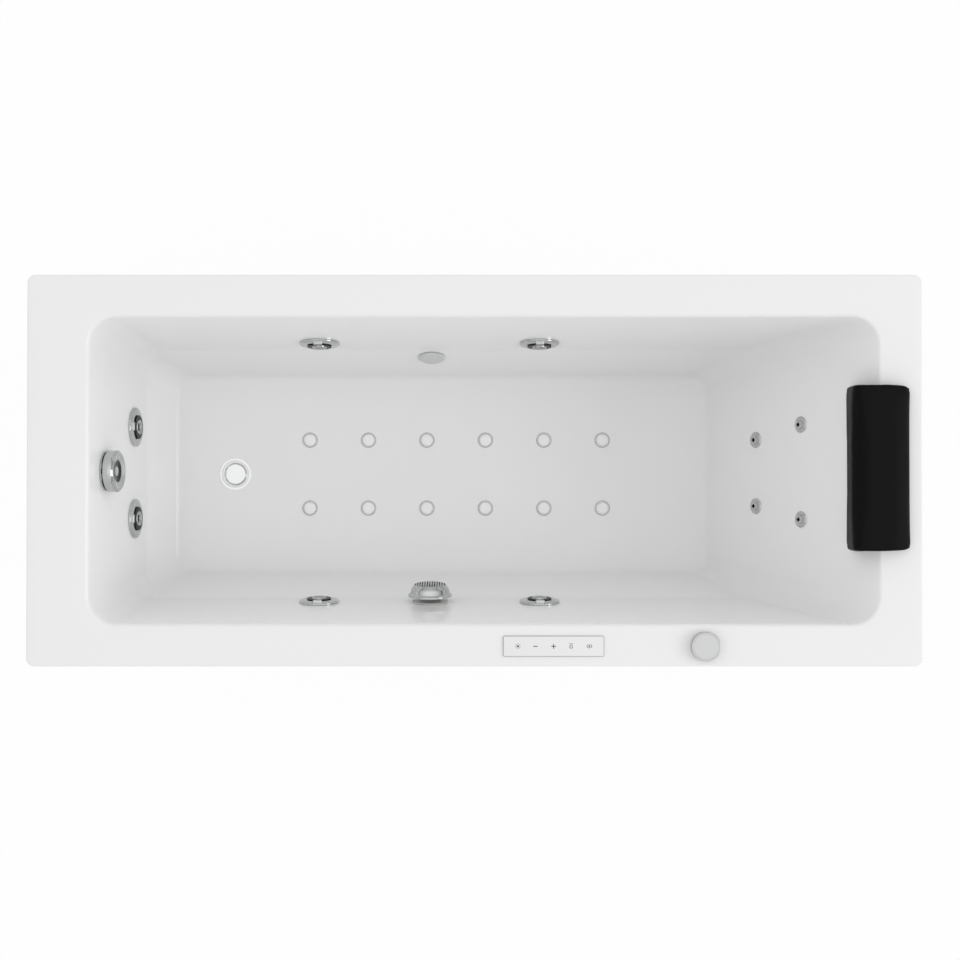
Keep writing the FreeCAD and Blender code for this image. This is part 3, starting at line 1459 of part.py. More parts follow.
def water_pipes():
    """The pressure pipe ring from the pump round both long walls and the foot wall, and the suction pipe."""
    back_foot, back_head, front_foot, front_head, foot_back, foot_front = jet_seats
    back_end = jet_pipe_end(back_head, 1)
    front_end = jet_pipe_end(front_head, -1)
    header = [
        front_end,
        (pump_x, front_end.y, front_end.z),
        (pump_x, back_end.y, back_end.z),
        back_end,
    ]
    riser_low = (pump_x, pump_outlet_y, pump_outlet_top - pump_socket_depth + pipe_end_gap)
    riser_high = (pump_x, pump_outlet_y, back_end.z)
    bore = water_pipe_radius - water_pipe_wall
    sleeve = water_pipe_radius + jet_socket_wall
    outer = fused([
        pipe(header, water_pipe_radius, pipe_bend_radius),
        rod(sleeve, (pump_x, pump_outlet_y - 2 * sleeve, back_end.z),
            (pump_x, pump_outlet_y + 2 * sleeve, back_end.z)),
        rod(sleeve, (pump_x, -saddle_half, back_end.z), (pump_x, saddle_half, back_end.z)),
        rod(water_pipe_radius, riser_low, riser_high),
    ])
    riser_bore = rod(bore - water_pipe_wall / 2, riser_low, riser_high)
    solids = [outer.cut([pipe(header, bore, pipe_bend_radius), riser_bore])]
    solids.append(pipe([jet_pipe_end(back_head, -1), jet_pipe_end(back_foot, 1)],
                       water_pipe_radius, pipe_bend_radius, water_pipe_wall))
    solids.append(pipe([jet_pipe_end(foot_back, -1), jet_pipe_end(foot_front, 1)],
                       water_pipe_radius, pipe_bend_radius, water_pipe_wall))
    for long_seat, side, foot_seat, foot_side in ((back_foot, -1, foot_back, 1),
                                                  (front_foot, 1, foot_front, -1)):
        start = jet_pipe_end(long_seat, side)
        end = jet_pipe_end(foot_seat, foot_side)
        solids.append(pipe([
            start,
            (start.x - pipe_step_start, start.y, start.z),
            (start.x - pipe_step_end, start.y, end.z),
            (end.x, start.y, end.z),
            end,
        ], water_pipe_radius, pipe_bend_radius, water_pipe_wall))
    for seat, side in ((front_head, 1), (front_foot, -1)):
        inner = jet_pipe_end(seat, side)
        outer_end = seat.multVec(Vector(side * (jet_socket_reach + pipe_stub), 0, -jet_pipe_setback))
        solids.append(rod(water_pipe_radius, inner, outer_end))
    port = suction_seat.multVec(Vector(0, -suction_socket_stop - pipe_end_gap, -suction_setback))
    lower = suction_seat.multVec(Vector(0, -suction_socket_reach, -suction_setback))
    down = lower - port
    corner = port + down * ((pump_height - port.z) / down.z)
    solids.append(pipe([
        port,
        corner,
        (pump_x, corner.y, pump_height),
        (pump_x, pump_inlet_y + pump_socket_depth - pipe_end_gap, pump_height),
    ], suction_pipe_radius, pipe_bend_radius, water_pipe_wall))
    return group(solids + [back_jet_rail()])


def blower():
    """The air blower: a drum with a stepped motor cover and an outlet port."""
    outline = [(blower_radius - inset, blower_height * share) for inset, share in blower_drum]
    drum = turned([(0, 0)] + outline + [(0, blower_height)])
    cover_radius = min(radius for radius, height in outline[:-1])
    flange = Part.makeCylinder(blower_radius + blower_flange, blower_flange_height)
    vents = []
    for number in range(blower_vents):
        vent = block((cover_radius - blower_vent_depth, -blower_vent_width / 2,
                      blower_height * blower_vent_low),
                     (blower_radius, blower_vent_width / 2, blower_height * blower_vent_high))
        vent.rotate(Vector(0, 0, 0), Vector(0, 0, 1), 360 / blower_vents * number)
        vents.append(vent)
    drum = drum.fuse(flange).cut(vents)
    drum.translate(Vector(blower_x, blower_y, tray_top))
    port = rod(air_hose_radius + blower_port_wall, (blower_x - blower_radius, blower_y, blower_port_height),
               (blower_x, blower_y, blower_port_height))
    return fused([drum, port])


def equipment_tray():
    """The sheet tray for the pump, blower and control box, notched for the air hose."""
    half = tube_size / 2
    reach = side_rail_y - half - 2
    foot_edge = cross_rail_x[-1] - half
    lip_top = tray_top + tray_lip
    lip_end = end_rail_x - post_plate_size / 2
    tray = fused([
        block((foot_edge, -reach, board_bottom), (end_rail_x + half, reach, tray_top)),
        block((foot_edge, -reach, board_bottom), (lip_end, tray_thickness - reach, lip_top)),
        block((foot_edge, reach - tray_thickness, board_bottom), (lip_end, reach, lip_top)),
        block((foot_edge, -reach, board_bottom), (foot_edge + tray_thickness, reach, lip_top)),
    ])
    return tray.cut(rod(air_hose_radius + blower_port_wall, (air_hose_x, blower_y, board_bottom),
                        (air_hose_x, blower_y, tray_top)))


def control_box():
    """The control box on the tray, with two cable glands."""
    low = (end_rail_x - box_inward, blower_y - box_half_length, tray_top)
    high = (end_rail_x + tube_size / 2 - box_lid_lip, blower_y + box_half_length, tray_top + box_depth)
    lid_low = (low[0] - box_lid_lip, low[1] - box_lid_lip, high[2] - box_lid)
    lid_high = (high[0] + box_lid_lip, high[1] + box_lid_lip, high[2])
    boxes = []
    for corners in ((low, high), (lid_low, lid_high)):
        box = block(*corners)
        upright = [edge for edge in box.Edges if not near(edge.Vertexes[0].Z, edge.Vertexes[1].Z)]
        boxes.append(box.makeFillet(box_corner_radius, upright))
    glands = []
    for side in (-1, 1):
        gland = hexagon(2 * cable_gland_radius, cable_gland_height, 0)
        gland.translate(Vector((low[0] + high[0]) / 2, blower_y + side * box_gland_spacing / 2, high[2]))
        glands.append(gland)
    return fused(boxes + glands)


# ---- controls and headrest ----------------------------------------------------------------------

def touch_panel():
    """The flat touch panel on the rim, with its stem through the deck."""
    plate = block((-panel_length / 2, -panel_width / 2, 0),
                  (panel_length / 2, panel_width / 2, panel_thickness))
    upright = [edge for edge in plate.Edges if not near(edge.Vertexes[0].Z, edge.Vertexes[1].Z)]
    plate = plate.makeFillet(panel_corner_radius, upright)
    stem = rod(panel_boss_radius, (0, 0, -3 * shell_wall), (0, 0, 1))
    return seated(fused([plate, stem]), panel_seat)


def air_valve():
    """The air valve through the rim, with its hose tail below."""
    thread = air_valve_hole_radius - fixed_clearance
    bore = air_spindle_radius + running_clearance
    return seated(turned([
        (bore, air_valve_flange),
        (bore, -air_spindle_reach - air_spindle_room),
        (0, -air_spindle_reach - air_spindle_room),
        (0, -air_valve_length),
        (air_tube_radius, -air_valve_length),
        (air_tube_radius, air_valve_tail - air_valve_length),
        (thread, air_valve_tail + air_valve_neck - air_valve_length),
        (thread, 0),
        (air_knob_radius - air_valve_skirt, 0),
        (air_knob_radius - air_valve_skirt, air_valve_flange),
    ]), air_valve_seat)


def air_knob():
    """The round knob that sets how much air the water jets draw."""
    base = air_valve_flange + moving_gap
    top = base + air_knob_height
    return seated(turned([
        (0, -air_spindle_reach),
        (air_spindle_radius, -air_spindle_reach),
        (air_spindle_radius, base),
        (air_knob_radius, base),
        (air_knob_radius, top - air_knob_edge),
        (air_knob_radius - air_knob_bevel, top),
        (0, top),
    ]), air_valve_seat)


def rim_nuts():
    """The nuts under the rim: the air valve, the panel stem and the headrest's two studs."""
    nuts = []
    for seat, width, bore in ((air_valve_seat, air_nut_width, air_valve_hole_radius),
                              (panel_seat, panel_nut_width, panel_boss_radius + fixed_clearance)):
        nut = hexagon(width, shell_wall, bore)
        nut.translate(seat.Base - Vector(0, 0, 2 * shell_wall))
        nuts.append(nut)
    for stud in headrest_studs:
        nut = hexagon(headrest_nut_width, shell_wall, headrest_stud_radius + fixed_clearance)
        nut.translate(stud - Vector(0, 0, 2 * shell_wall))
        nuts.append(nut)
    return group(nuts)


def headrest_base():
    """The strip under the headrest, with two studs through the rim."""
    half = headrest_length / 2 - headrest_strip_inset
    front = head_opening + opening_edge_radius + headrest_strip_gap
    strip = block((front, headrest_shift - half, rim_height),
                  (headrest_back_x - headrest_strip_end, headrest_shift + half,
                   rim_height + headrest_base_thickness))
    studs = [rod(headrest_stud_radius, (stud.x, stud.y, stud.z - 3.5 * shell_wall),
                 (stud.x, stud.y, stud.z + 1))
             for stud in headrest_studs]
    return fused([strip] + studs)


def headrest():
    """The soft headrest: a wedge over the rim's edge that hangs down against the backrest."""
    base = rim_height + headrest_base_thickness + moving_gap
    lean = head_floor_inset / basin_depth
    gap = headrest_wall_gap
    edge_x = head_opening + opening_edge_radius + headrest_strip_gap / 2
    low_z = rim_height - headrest_drop
    low_x = head_opening - lean * headrest_drop - gap
    turn_z = rim_height - opening_edge_radius
    points = [
        Vector(headrest_back_x, 0, base),
        Vector(edge_x, 0, base),
        Vector(head_opening - gap, 0, base),
        Vector(head_opening - lean * opening_edge_radius - gap - 1, 0, turn_z),
        Vector(low_x, 0, low_z),
        Vector(headrest_front_x + headrest_nose, 0, low_z - headrest_nose_rise / 2),
        Vector(headrest_front_x, 0, low_z + headrest_nose_rise),
        Vector(headrest_front_x, 0, base),
    ]
    shoulder_z = base + headrest_height * headrest_shoulder
    front_shoulder = Vector(headrest_front_x + headrest_front_round, 0, shoulder_z)
    crown = Vector((headrest_front_x + headrest_back_x) / 2, 0, base + headrest_height)
    back_shoulder = Vector(headrest_back_x - headrest_back_round, 0, shoulder_z)
    back_edge = Vector(headrest_back_x, 0, base + headrest_height * headrest_back_edge)
    under_side = Part.makePolygon([back_shoulder, back_edge] + points + [front_shoulder])
    top_side = Part.Arc(front_shoulder, crown, back_shoulder).toShape()
    face = Part.Face(Part.Wire(under_side.Edges + [top_side]))
    pad = face.extrude(Vector(0, headrest_length, 0))
    pad.translate(Vector(0, headrest_shift - headrest_length / 2, 0))
    return pad


parts = {
    "tub_shell": tub_shell(),
    "base_board": base_board(),
    "frame_rails": frame_rails(),
    "frame_posts": frame_posts(),
    "frame_screws": frame_screws(),
    "foot_nuts": foot_nuts(),
    "wall_fittings": wall_fittings(),
    "jet_sockets": jet_sockets(),
    "jet_bodies": jet_bodies(),
    "fitting_seals": fitting_seals(),
    "micro_jet_flanges": micro_jet_flanges(),
    "micro_jet_bodies": micro_jet_bodies(),
    "air_jet_rings": air_jet_rings(),
    "air_jet_caps": air_jet_caps(),
    "air_jet_bodies": air_jet_bodies(),
    "air_manifold": air_manifold(),
    "suction_cover": suction_cover(),
    "suction_body": suction_body(),
    "light_lens": light_lens(),
    "light_housing": light_housing(),
    "overflow_flange": overflow_flange(),
    "overflow_knob": overflow_knob(),
    "overflow_body": overflow_body(),
    "waste_flange": waste_flange(),
    "waste_plug": waste_plug(),
    "waste_trap": waste_trap(),
    "bowden_cable": bowden_cable(),
    "pump_wet_end": pump_wet_end(),
    "pump_motor": pump_motor(),
    "water_pipes": water_pipes(),
    "blower": blower(),
    "equipment_tray": equipment_tray(),
    "control_box": control_box(),
    "touch_panel": touch_panel(),
    "air_valve": air_valve(),
    "air_knob": air_knob(),
    "rim_nuts": rim_nuts(),
    "headrest_base": headrest_base(),
    "headrest": headrest(),
}
for number, place in enumerate(foot_places(), 1):
    parts[f"foot_{number}"] = foot(place)
for number, seat in enumerate(jet_seats, 1):
    parts[f"jet_face_{number}"] = jet_face(seat)
    parts[f"jet_nozzle_{number}"] = jet_nozzle(seat)
for number, seat in enumerate(micro_seats, 1):
    parts[f"micro_nozzle_{number}"] = micro_nozzle(seat)

os.makedirs("parts", exist_ok=True)
for name, shape in parts.items():
    shape.exportStep(f"parts/{name}.step")
    print(name, "valid", shape.isValid(), "solids", len(shape.Solids), "faces", len(shape.Faces),
          "volume", round(shape.Volume / 1000), "cm3")
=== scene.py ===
import bmesh
import bpy
import json
import math
import numpy as np
from mathutils import Matrix, Vector


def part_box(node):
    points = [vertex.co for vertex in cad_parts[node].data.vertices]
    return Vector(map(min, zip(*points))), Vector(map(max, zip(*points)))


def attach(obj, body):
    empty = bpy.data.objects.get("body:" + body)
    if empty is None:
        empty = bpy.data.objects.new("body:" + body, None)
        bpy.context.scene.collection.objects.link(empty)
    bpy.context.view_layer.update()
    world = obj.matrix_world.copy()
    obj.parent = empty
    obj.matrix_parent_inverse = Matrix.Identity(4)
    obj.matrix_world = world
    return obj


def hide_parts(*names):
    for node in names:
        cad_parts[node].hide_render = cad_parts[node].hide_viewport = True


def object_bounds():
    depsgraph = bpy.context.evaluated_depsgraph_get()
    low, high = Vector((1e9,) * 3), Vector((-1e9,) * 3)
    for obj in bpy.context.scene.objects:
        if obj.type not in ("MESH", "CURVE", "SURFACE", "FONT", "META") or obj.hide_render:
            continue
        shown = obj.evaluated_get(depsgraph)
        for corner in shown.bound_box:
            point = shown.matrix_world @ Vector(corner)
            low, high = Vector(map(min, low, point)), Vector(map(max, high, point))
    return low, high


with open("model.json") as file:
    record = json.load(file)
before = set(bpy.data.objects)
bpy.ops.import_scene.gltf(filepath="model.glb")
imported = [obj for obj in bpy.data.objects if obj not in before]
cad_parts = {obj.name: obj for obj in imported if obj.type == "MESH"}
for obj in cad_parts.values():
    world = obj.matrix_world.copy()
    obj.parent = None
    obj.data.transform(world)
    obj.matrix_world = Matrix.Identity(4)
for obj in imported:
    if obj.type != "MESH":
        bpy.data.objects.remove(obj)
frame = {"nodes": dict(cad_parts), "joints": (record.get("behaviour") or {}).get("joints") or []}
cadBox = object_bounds()
scene = bpy.context.scene
scene.view_settings.view_transform = "Standard"
mm = 0.001
joints = {joint["name"]: joint for joint in frame["joints"]}
nodeGrid = (220, 320, 6)       # node spacing across and down, and nodes in a row
noiseBand = (0.3, 0.7)         # where most of a noise's values lie
metal = {"Metallic": 1.0}
finish = {}


def boxMiddle(node):
    low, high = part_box(node)
    return (low + high) / 2


def addNode(tree, kind, inputs=None, **settings):
    # a node with its settings; each input, by label or number, takes a value or another node's output
    across, down, row = nodeGrid
    count = len(tree.nodes)
    node = tree.nodes.new(kind)
    node.location = ((count % row - row) * across, -(count // row) * down)
    for key, value in settings.items():
        setattr(node, key, value)
    for label, value in (inputs or {}).items():
        if isinstance(value, bpy.types.NodeSocket):
            tree.links.new(value, node.inputs[label])
        else:
            node.inputs[label].default_value = value
    return node


def mathNode(tree, operation, first, second):
    return addNode(tree, "ShaderNodeMath", {0: first, 1: second}, operation=operation).outputs[0]


def objectPlace(tree):
    return addNode(tree, "ShaderNodeTexCoord").outputs["Object"]


def noiseOf(tree, place, scale, detail=2.0):
    inputs = {"Vector": place, "Scale": scale, "Detail": detail}
    return addNode(tree, "ShaderNodeTexNoise", inputs).outputs["Fac"]


def newGroup(name, inputs, outputs):
    # a node group with named float inputs, each with its default, and named float outputs
    tree = bpy.data.node_groups.new(name, "ShaderNodeTree")
    for label, value in inputs.items():
        socket = tree.interface.new_socket(label, in_out="INPUT", socket_type="NodeSocketFloat")
        socket.default_value = value
    for label in outputs:
        tree.interface.new_socket(label, in_out="OUTPUT", socket_type="NodeSocketFloat")
    return tree, addNode(tree, "NodeGroupInput").outputs, addNode(tree, "NodeGroupOutput").inputs


def makeGrainGroup():
    # two noises of the object's own coordinates: a fine grain as height, a broad cloud as mask
    scales = {"Grain Scale": 400.0, "Cloud Scale": 3.0, "Detail": 3.0}
    tree, given, result = newGroup("surfaceGrain", scales, ("Height", "Cloud"))
    place = objectPlace(tree)
    for scale, output in (("Grain Scale", "Height"), ("Cloud Scale", "Cloud")):
        tree.links.new(noiseOf(tree, place, given[scale], given["Detail"]), result[output])
    return tree


def makeDustGroup():
    # faces that look up gather a little dust: max(normal's Z, 0) x noise x amount
    tree, given, result = newGroup("settledDust", {"Amount": 0.3, "Scale": 12.0}, ("Mask",))
    normal = addNode(tree, "ShaderNodeNewGeometry").outputs["Normal"]
    upward = addNode(tree, "ShaderNodeSeparateXYZ", {0: normal}).outputs["Z"]
    noise = noiseOf(tree, objectPlace(tree), given["Scale"], 5.0)
    broken = mathNode(tree, "MULTIPLY", mathNode(tree, "MAXIMUM", upward, 0.0), noise)
    tree.links.new(mathNode(tree, "MULTIPLY", broken, given["Amount"]), result["Mask"])
    return tree


grainGroup = makeGrainGroup()
dustGroup = makeDustGroup()


def mixColours(tree, mask, first, second):
    # first to second by a mask; a colour is (red, green, blue) or another node's output
    first, second = ((*colour, 1.0) if isinstance(colour, tuple) else colour for colour in (first, second))
    inputs = {"Factor": mask, 6: first, 7: second}
    return addNode(tree, "ShaderNodeMix", inputs, data_type="RGBA").outputs[2]


def spread(tree, source, low, high, band=noiseBand):
    # a value's band stretched to run from low to high
    inputs = dict(zip(("Value", "From Min", "From Max", "To Min", "To Max"), (source, *band, low, high)))
    return addNode(tree, "ShaderNodeMapRange", inputs).outputs[0]


def grainOf(tree, grainScale, cloudScale):
    inputs = {"Grain Scale": grainScale, "Cloud Scale": cloudScale}
    outputs = addNode(tree, "ShaderNodeGroup", inputs, node_tree=grainGroup).outputs
    return outputs["Height"], outputs["Cloud"]


def dusted(tree, colour, amount, dust=(0.62, 0.59, 0.54)):
    mask = addNode(tree, "ShaderNodeGroup", {"Amount": amount}, node_tree=dustGroup).outputs["Mask"]
    return mixColours(tree, mask, colour, dust)


def newFinish(name, slot, even, pattern, *values):
    # a material whose even values are set on the Principled shader's own sockets, and whose pattern gives a
    # colour, a roughness, a height and the bump's strength and depth in metres
    material = bpy.data.materials.new(name)
    material.use_nodes = True
    material["slot"] = slot
    tree = material.node_tree
    shader = tree.nodes["Principled BSDF"].inputs
    for label, value in even.items():
        shader[label].default_value = value
    colour, rough, height, (strength, depth) = pattern(tree, *values)
    bump = addNode(tree, "ShaderNodeBump", {"Strength": strength, "Distance": depth, "Height": height})
    for label, source in (("Base Color", colour), ("Roughness", rough), ("Normal", bump.outputs["Normal"])):
        tree.links.new(source, shader[label])
    finish[name] = material


def cloudedPattern(tree, colour, colourToo, rough, scales, bump, dust=0.0):
    # two near colours and a roughness range by one cloud, with a fine grain as height and some dust
    height, cloud = grainOf(tree, *scales)
    mixed = mixColours(tree, cloud, colour, colourToo)
    if dust:
        mixed = dusted(tree, mixed, dust)
    return mixed, spread(tree, cloud, *rough), height, bump


# slot and even values, then two colours, a roughness range, the grain's and the cloud's scale, the bump's
# strength and depth, and the amount of dust if there is any
looks = {
    "acrylic": ("white_acrylic", {"IOR": 1.49}, (0.885, 0.89, 0.89), (0.90, 0.90, 0.895), (0.10, 0.14),
                (55.0, 2.0), (0.03, 0.0004)),
    "chrome": ("chrome", metal, (0.53, 0.535, 0.54), (0.57, 0.575, 0.58), (0.06, 0.10),
               (900.0, 30.0), (0.02, 0.0001)),
    # near-black chrome: a painted reflection, the dark ring in the overflow knob's dish
    "dishReflectionChrome": ("chrome", metal, (0.018, 0.018, 0.019), (0.032, 0.032, 0.033), (0.12, 0.2),
                   (900.0, 40.0), (0.02, 0.0001)),
    "lightChrome": ("chrome", metal, (0.72, 0.725, 0.73), (0.76, 0.765, 0.77), (0.07, 0.12),
                    (900.0, 30.0), (0.02, 0.0001)),
    "nozzleChrome": ("chrome", metal, (0.40, 0.405, 0.41), (0.46, 0.465, 0.47), (0.12, 0.18),
                     (900.0, 30.0), (0.02, 0.0001)),
    "nozzleGrey": ("grey_plastic", {}, (0.44, 0.445, 0.45), (0.52, 0.525, 0.53), (0.22, 0.30),
                   (1200.0, 30.0), (0.05, 0.0001)),
    "ringGrey": ("grey_plastic", {"Metallic": 0.35}, (0.50, 0.505, 0.51), (0.55, 0.555, 0.56), (0.16, 0.22),
                 (1200.0, 30.0), (0.03, 0.0001)),
    "seatBlack": ("black_plastic", {"Specular IOR Level": 0.2}, (0.006, 0.006, 0.0065),
                  (0.011, 0.011, 0.0115), (0.30, 0.40), (1500.0, 20.0), (0.08, 0.0001)),
    "moulding": ("black_plastic", {}, (0.016, 0.016, 0.017), (0.026, 0.026, 0.027), (0.34, 0.46),
                 (1500.0, 20.0), (0.12, 0.0002), 0.12),
    "pipeWhite": ("white_pipe_plastic", {}, (0.72, 0.72, 0.70), (0.77, 0.77, 0.76), (0.26, 0.36),
                  (300.0, 8.0), (0.05, 0.0003), 0.25),
    "capWhite": ("clear_cap_plastic", {}, (0.93, 0.93, 0.93), (0.95, 0.95, 0.95), (0.14, 0.2),
                 (900.0, 30.0), (0.03, 0.0001)),
    "tubeGrey": ("grey_tube_plastic", {}, (0.20, 0.205, 0.215), (0.26, 0.265, 0.275), (0.40, 0.52),
                 (700.0, 10.0), (0.08, 0.0003), 0.25),
    "rubber": ("seal_rubber", {}, (0.018, 0.018, 0.018), (0.03, 0.03, 0.03), (0.62, 0.75),
               (1600.0, 20.0), (0.15, 0.0002), 0.2),
    "fastener": ("plated_fastener", metal, (0.60, 0.59, 0.55), (0.68, 0.67, 0.65), (0.28, 0.40),
                 (900.0, 40.0), (0.06, 0.0001)),
    "footSteel": ("foot_steel", metal, (0.55, 0.56, 0.56), (0.64, 0.64, 0.64), (0.26, 0.38),
                  (900.0, 35.0), (0.06, 0.0001)),
    "motorBlue": ("motor_enamel", {}, (0.030, 0.055, 0.10), (0.038, 0.066, 0.115), (0.30, 0.42),
                  (260.0, 9.0), (0.10, 0.0004), 0.3),
    "blowerShell": ("blower_plastic", {}, (0.47, 0.47, 0.45), (0.53, 0.53, 0.51), (0.42, 0.55),
                    (900.0, 10.0), (0.15, 0.0003), 0.3),
    "panelWhite": ("panel_gloss", {}, (0.84, 0.845, 0.85), (0.86, 0.86, 0.865), (0.10, 0.15),
                   (500.0, 18.0), (0.02, 0.0001)),
    # mid grey for the layer under the touch panel: its rim is a painted shadow round the plate
    "panelShadowEdge": ("panel_gloss", {}, (0.30, 0.30, 0.305), (0.36, 0.36, 0.365), (0.3, 0.4),
                  (900.0, 18.0), (0.04, 0.0001)),
    "printGrey": ("panel_gloss", {}, (0.045, 0.045, 0.05), (0.06, 0.06, 0.065), (0.4, 0.5),
                  (900.0, 60.0), (0.03, 0.0001)),
    # black of the headrest's base strip, also painted into the back jets' outlets as shade in the hole
    "stripBlackAndHoleShade": ("strip_plastic", {}, (0.018, 0.018, 0.018), (0.028, 0.028, 0.028), (0.40, 0.5),
                   (1200.0, 15.0), (0.1, 0.0002)),
    "lensGlass": ("lens_glass", {"Transmission Weight": 0.2, "IOR": 1.5, "Metallic": 0.0},
                  (0.72, 0.73, 0.74), (0.80, 0.81, 0.82), (0.06, 0.14), (500.0, 60.0), (0.2, 0.0003)),
}
for name, (slot, even, *values) in looks.items():
    newFinish(name, slot, even, cloudedPattern, *values)
print("clouded materials:", len(finish))


def resinPattern(tree):
    # glass-fibre backing: the greatest of three noises, each drawn out to strands and turned its own way
    place, strands = objectPlace(tree), None
    for turn in (0.3, 1.35, 2.4):
        inputs = {"Vector": place, "Rotation": (turn, turn * 1.7, turn * 0.6), "Scale": (18.0, 260.0, 260.0)}
        layer = noiseOf(tree, addNode(tree, "ShaderNodeMapping", inputs).outputs["Vector"], 1.0)
        strands = layer if strands is None else mathNode(tree, "MAXIMUM", strands, layer)
    colour = mixColours(tree, spread(tree, strands, 0.0, 1.0), (0.46, 0.45, 0.38), (0.68, 0.67, 0.60))
    colour = dusted(tree, colour, 0.4, (0.60, 0.57, 0.52))
    return colour, spread(tree, strands, 0.55, 0.34), strands, (0.5, 0.0012)


def cellTones(tree, scale):
    # three even values for each cell of a cell pattern
    inputs = {"Vector": objectPlace(tree), "Scale": scale}
    cells = addNode(tree, "ShaderNodeTexVoronoi", inputs).outputs["Color"]
    return addNode(tree, "ShaderNodeSeparateColor", {0: cells}).outputs


def zincPattern(tree):
    # zinc spangle: cells of slightly different grey, roughness and height
    tone = cellTones(tree, 110.0)
    colour = mixColours(tree, tone[0], (0.43, 0.44, 0.46), (0.60, 0.61, 0.63))
    colour = dusted(tree, colour, 0.35, (0.58, 0.56, 0.52))
    return colour, spread(tree, tone[1], 0.30, 0.48), tone[2], (0.05, 0.0002)


def boardPattern(tree):
    # pressed board: chips of several browns under a thin, cloudy resin coat
    tone = cellTones(tree, 260.0)
    _, cloud = grainOf(tree, 700.0, 9.0)
    colour = mixColours(tree, tone[0], (0.30, 0.185, 0.085), (0.52, 0.37, 0.20))
    colour = mixColours(tree, spread(tree, cloud, 0.0, 0.35), colour, (0.56, 0.50, 0.40))
    return colour, spread(tree, tone[1], 0.5, 0.7), tone[2], (0.2, 0.0004)


def skinPattern(tree):
    # moulded skin foam: pores as 4 x min(distance to the cell's edge, 0.12), over a cloudy black
    inputs = {"Vector": objectPlace(tree), "Scale": 520.0}
    pores = addNode(tree, "ShaderNodeTexVoronoi", inputs, feature="DISTANCE_TO_EDGE").outputs["Distance"]
    height = mathNode(tree, "MULTIPLY", mathNode(tree, "MINIMUM", pores, 0.12), 4.0)
    _, cloud = grainOf(tree, 900.0, 14.0)
    colour = mixColours(tree, cloud, (0.0035, 0.0035, 0.0037), (0.0065, 0.0065, 0.0068))
    return colour, spread(tree, cloud, 0.40, 0.52), height, (0.35, 0.0003)


def turnedPattern(tree):
    # a turned satin face: very fine rings round the air knob's own centre, over cloudy metal
    inputs = {"Vector": objectPlace(tree), "Location": -boxMiddle("air_knob")}
    centred = addNode(tree, "ShaderNodeMapping", inputs).outputs["Vector"]
    inputs = {"Vector": centred, "Scale": 700.0, "Distortion": 1.5}
    rings = addNode(tree, "ShaderNodeTexWave", inputs, wave_type="RINGS", rings_direction="Z").outputs["Fac"]
    _, cloud = grainOf(tree, 900.0, 20.0)
    colour = mixColours(tree, cloud, (0.55, 0.555, 0.56), (0.60, 0.60, 0.605))
    return colour, spread(tree, cloud, 0.26, 0.32), rings, (0.12, 0.0001)


newFinish("resinBacking", "white_acrylic", {}, resinPattern)
newFinish("turnedSatin", "satin_chrome", metal, turnedPattern)
newFinish("galvanised", "zinc_steel", metal, zincPattern)
newFinish("chipBoard", "birch_board", {}, boardPattern)
newFinish("skinFoam", "headrest_skin", {"Specular IOR Level": 0.07}, skinPattern)
print("all materials:", len(finish))


def gridFaces(rows, columns, closed=True):
    # quads between neighbouring rows and columns of a grid; closed joins the last column to the first
    row = np.arange(rows - 1)[:, None]
    column = np.arange(columns if closed else columns - 1)[None, :]
    beside = (column + 1) % columns
    corners = [row * columns + column, row * columns + beside, (row + 1) * columns + beside,
               (row + 1) * columns + column]
    return np.stack(np.broadcast_arrays(*corners), axis=-1).reshape(-1, 4).tolist()


def newObject(name, data):
    item = bpy.data.objects.new(name, data)
    scene.collection.objects.link(item)
    return item


def newMesh(name, points, faces):
    mesh = bpy.data.meshes.new(name)
    mesh.from_pydata(points, [], faces)
    return mesh


def mergeDoubles(mesh, distance, outwards=True):
    # joins points that lie together, and turns the faces of a closed shape outwards
    build = bmesh.new()
    build.from_mesh(mesh)
    bmesh.ops.remove_doubles(build, verts=build.verts, dist=distance)
    if outwards:
        bmesh.ops.recalc_face_normals(build, faces=build.faces)
    build.to_mesh(mesh)
    build.free()


def smoothTo(mesh, degrees):
    # smooth faces, with edges sharper than the angle kept sharp
    mesh.shade_smooth()
    mesh.set_sharp_from_angle(angle=math.radians(degrees))


def vectorsOf(items, key):
    # one vector of every vertex or face, as an array
    values = np.zeros(len(items) * 3)
    items.foreach_get(key, values)
    return values.reshape(-1, 3)


def workedIn(piece):
    # the piece takes the mesh that its modifiers make, without them
    graph = bpy.context.evaluated_depsgraph_get()
    mesh = bpy.data.meshes.new_from_object(piece.evaluated_get(graph))
    piece.modifiers.clear()
    piece.data = mesh
    return mesh


def settle(piece, body, look, nodes):
    # the piece's finish, the body it rides on and the nodes it stands for
    piece.data.materials.clear()
    piece.data.materials.append(finish[look])
    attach(piece, body)
    if nodes:
        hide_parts(*nodes)


def newPiece(name, shape, body, look, nodes=(), smooth=40.0, merge=1e-6):
    # a shape (points and faces) as a piece with its doubles merged and its faces turned outwards
    mesh = newMesh(name, *shape)
    mergeDoubles(mesh, merge)
    smoothTo(mesh, smooth)
    piece = newObject(name, mesh)
    settle(piece, body, look, nodes)
    return piece


def paintFaces(piece, look, chosen):
    # gives a second finish to the faces whose middles (an array of points) pass the test
    mesh = piece.data
    mesh.materials.append(finish[look])
    marks = chosen(vectorsOf(mesh.polygons, "center")).astype(np.int32)
    mesh.polygons.foreach_set("material_index", marks)
    mesh.update()


def cutAway(piece, shape):
    # takes closed cutters away from a piece in one exact step
    mesh = newMesh("cutters", *shape)
    mergeDoubles(mesh, 1e-6)
    cutter = newObject("cutters", mesh)
    cut = piece.modifiers.new("cut", "BOOLEAN")
    cut.operation, cut.solver, cut.object = "DIFFERENCE", "EXACT", cutter
    workedIn(piece)
    bpy.data.objects.remove(cutter)


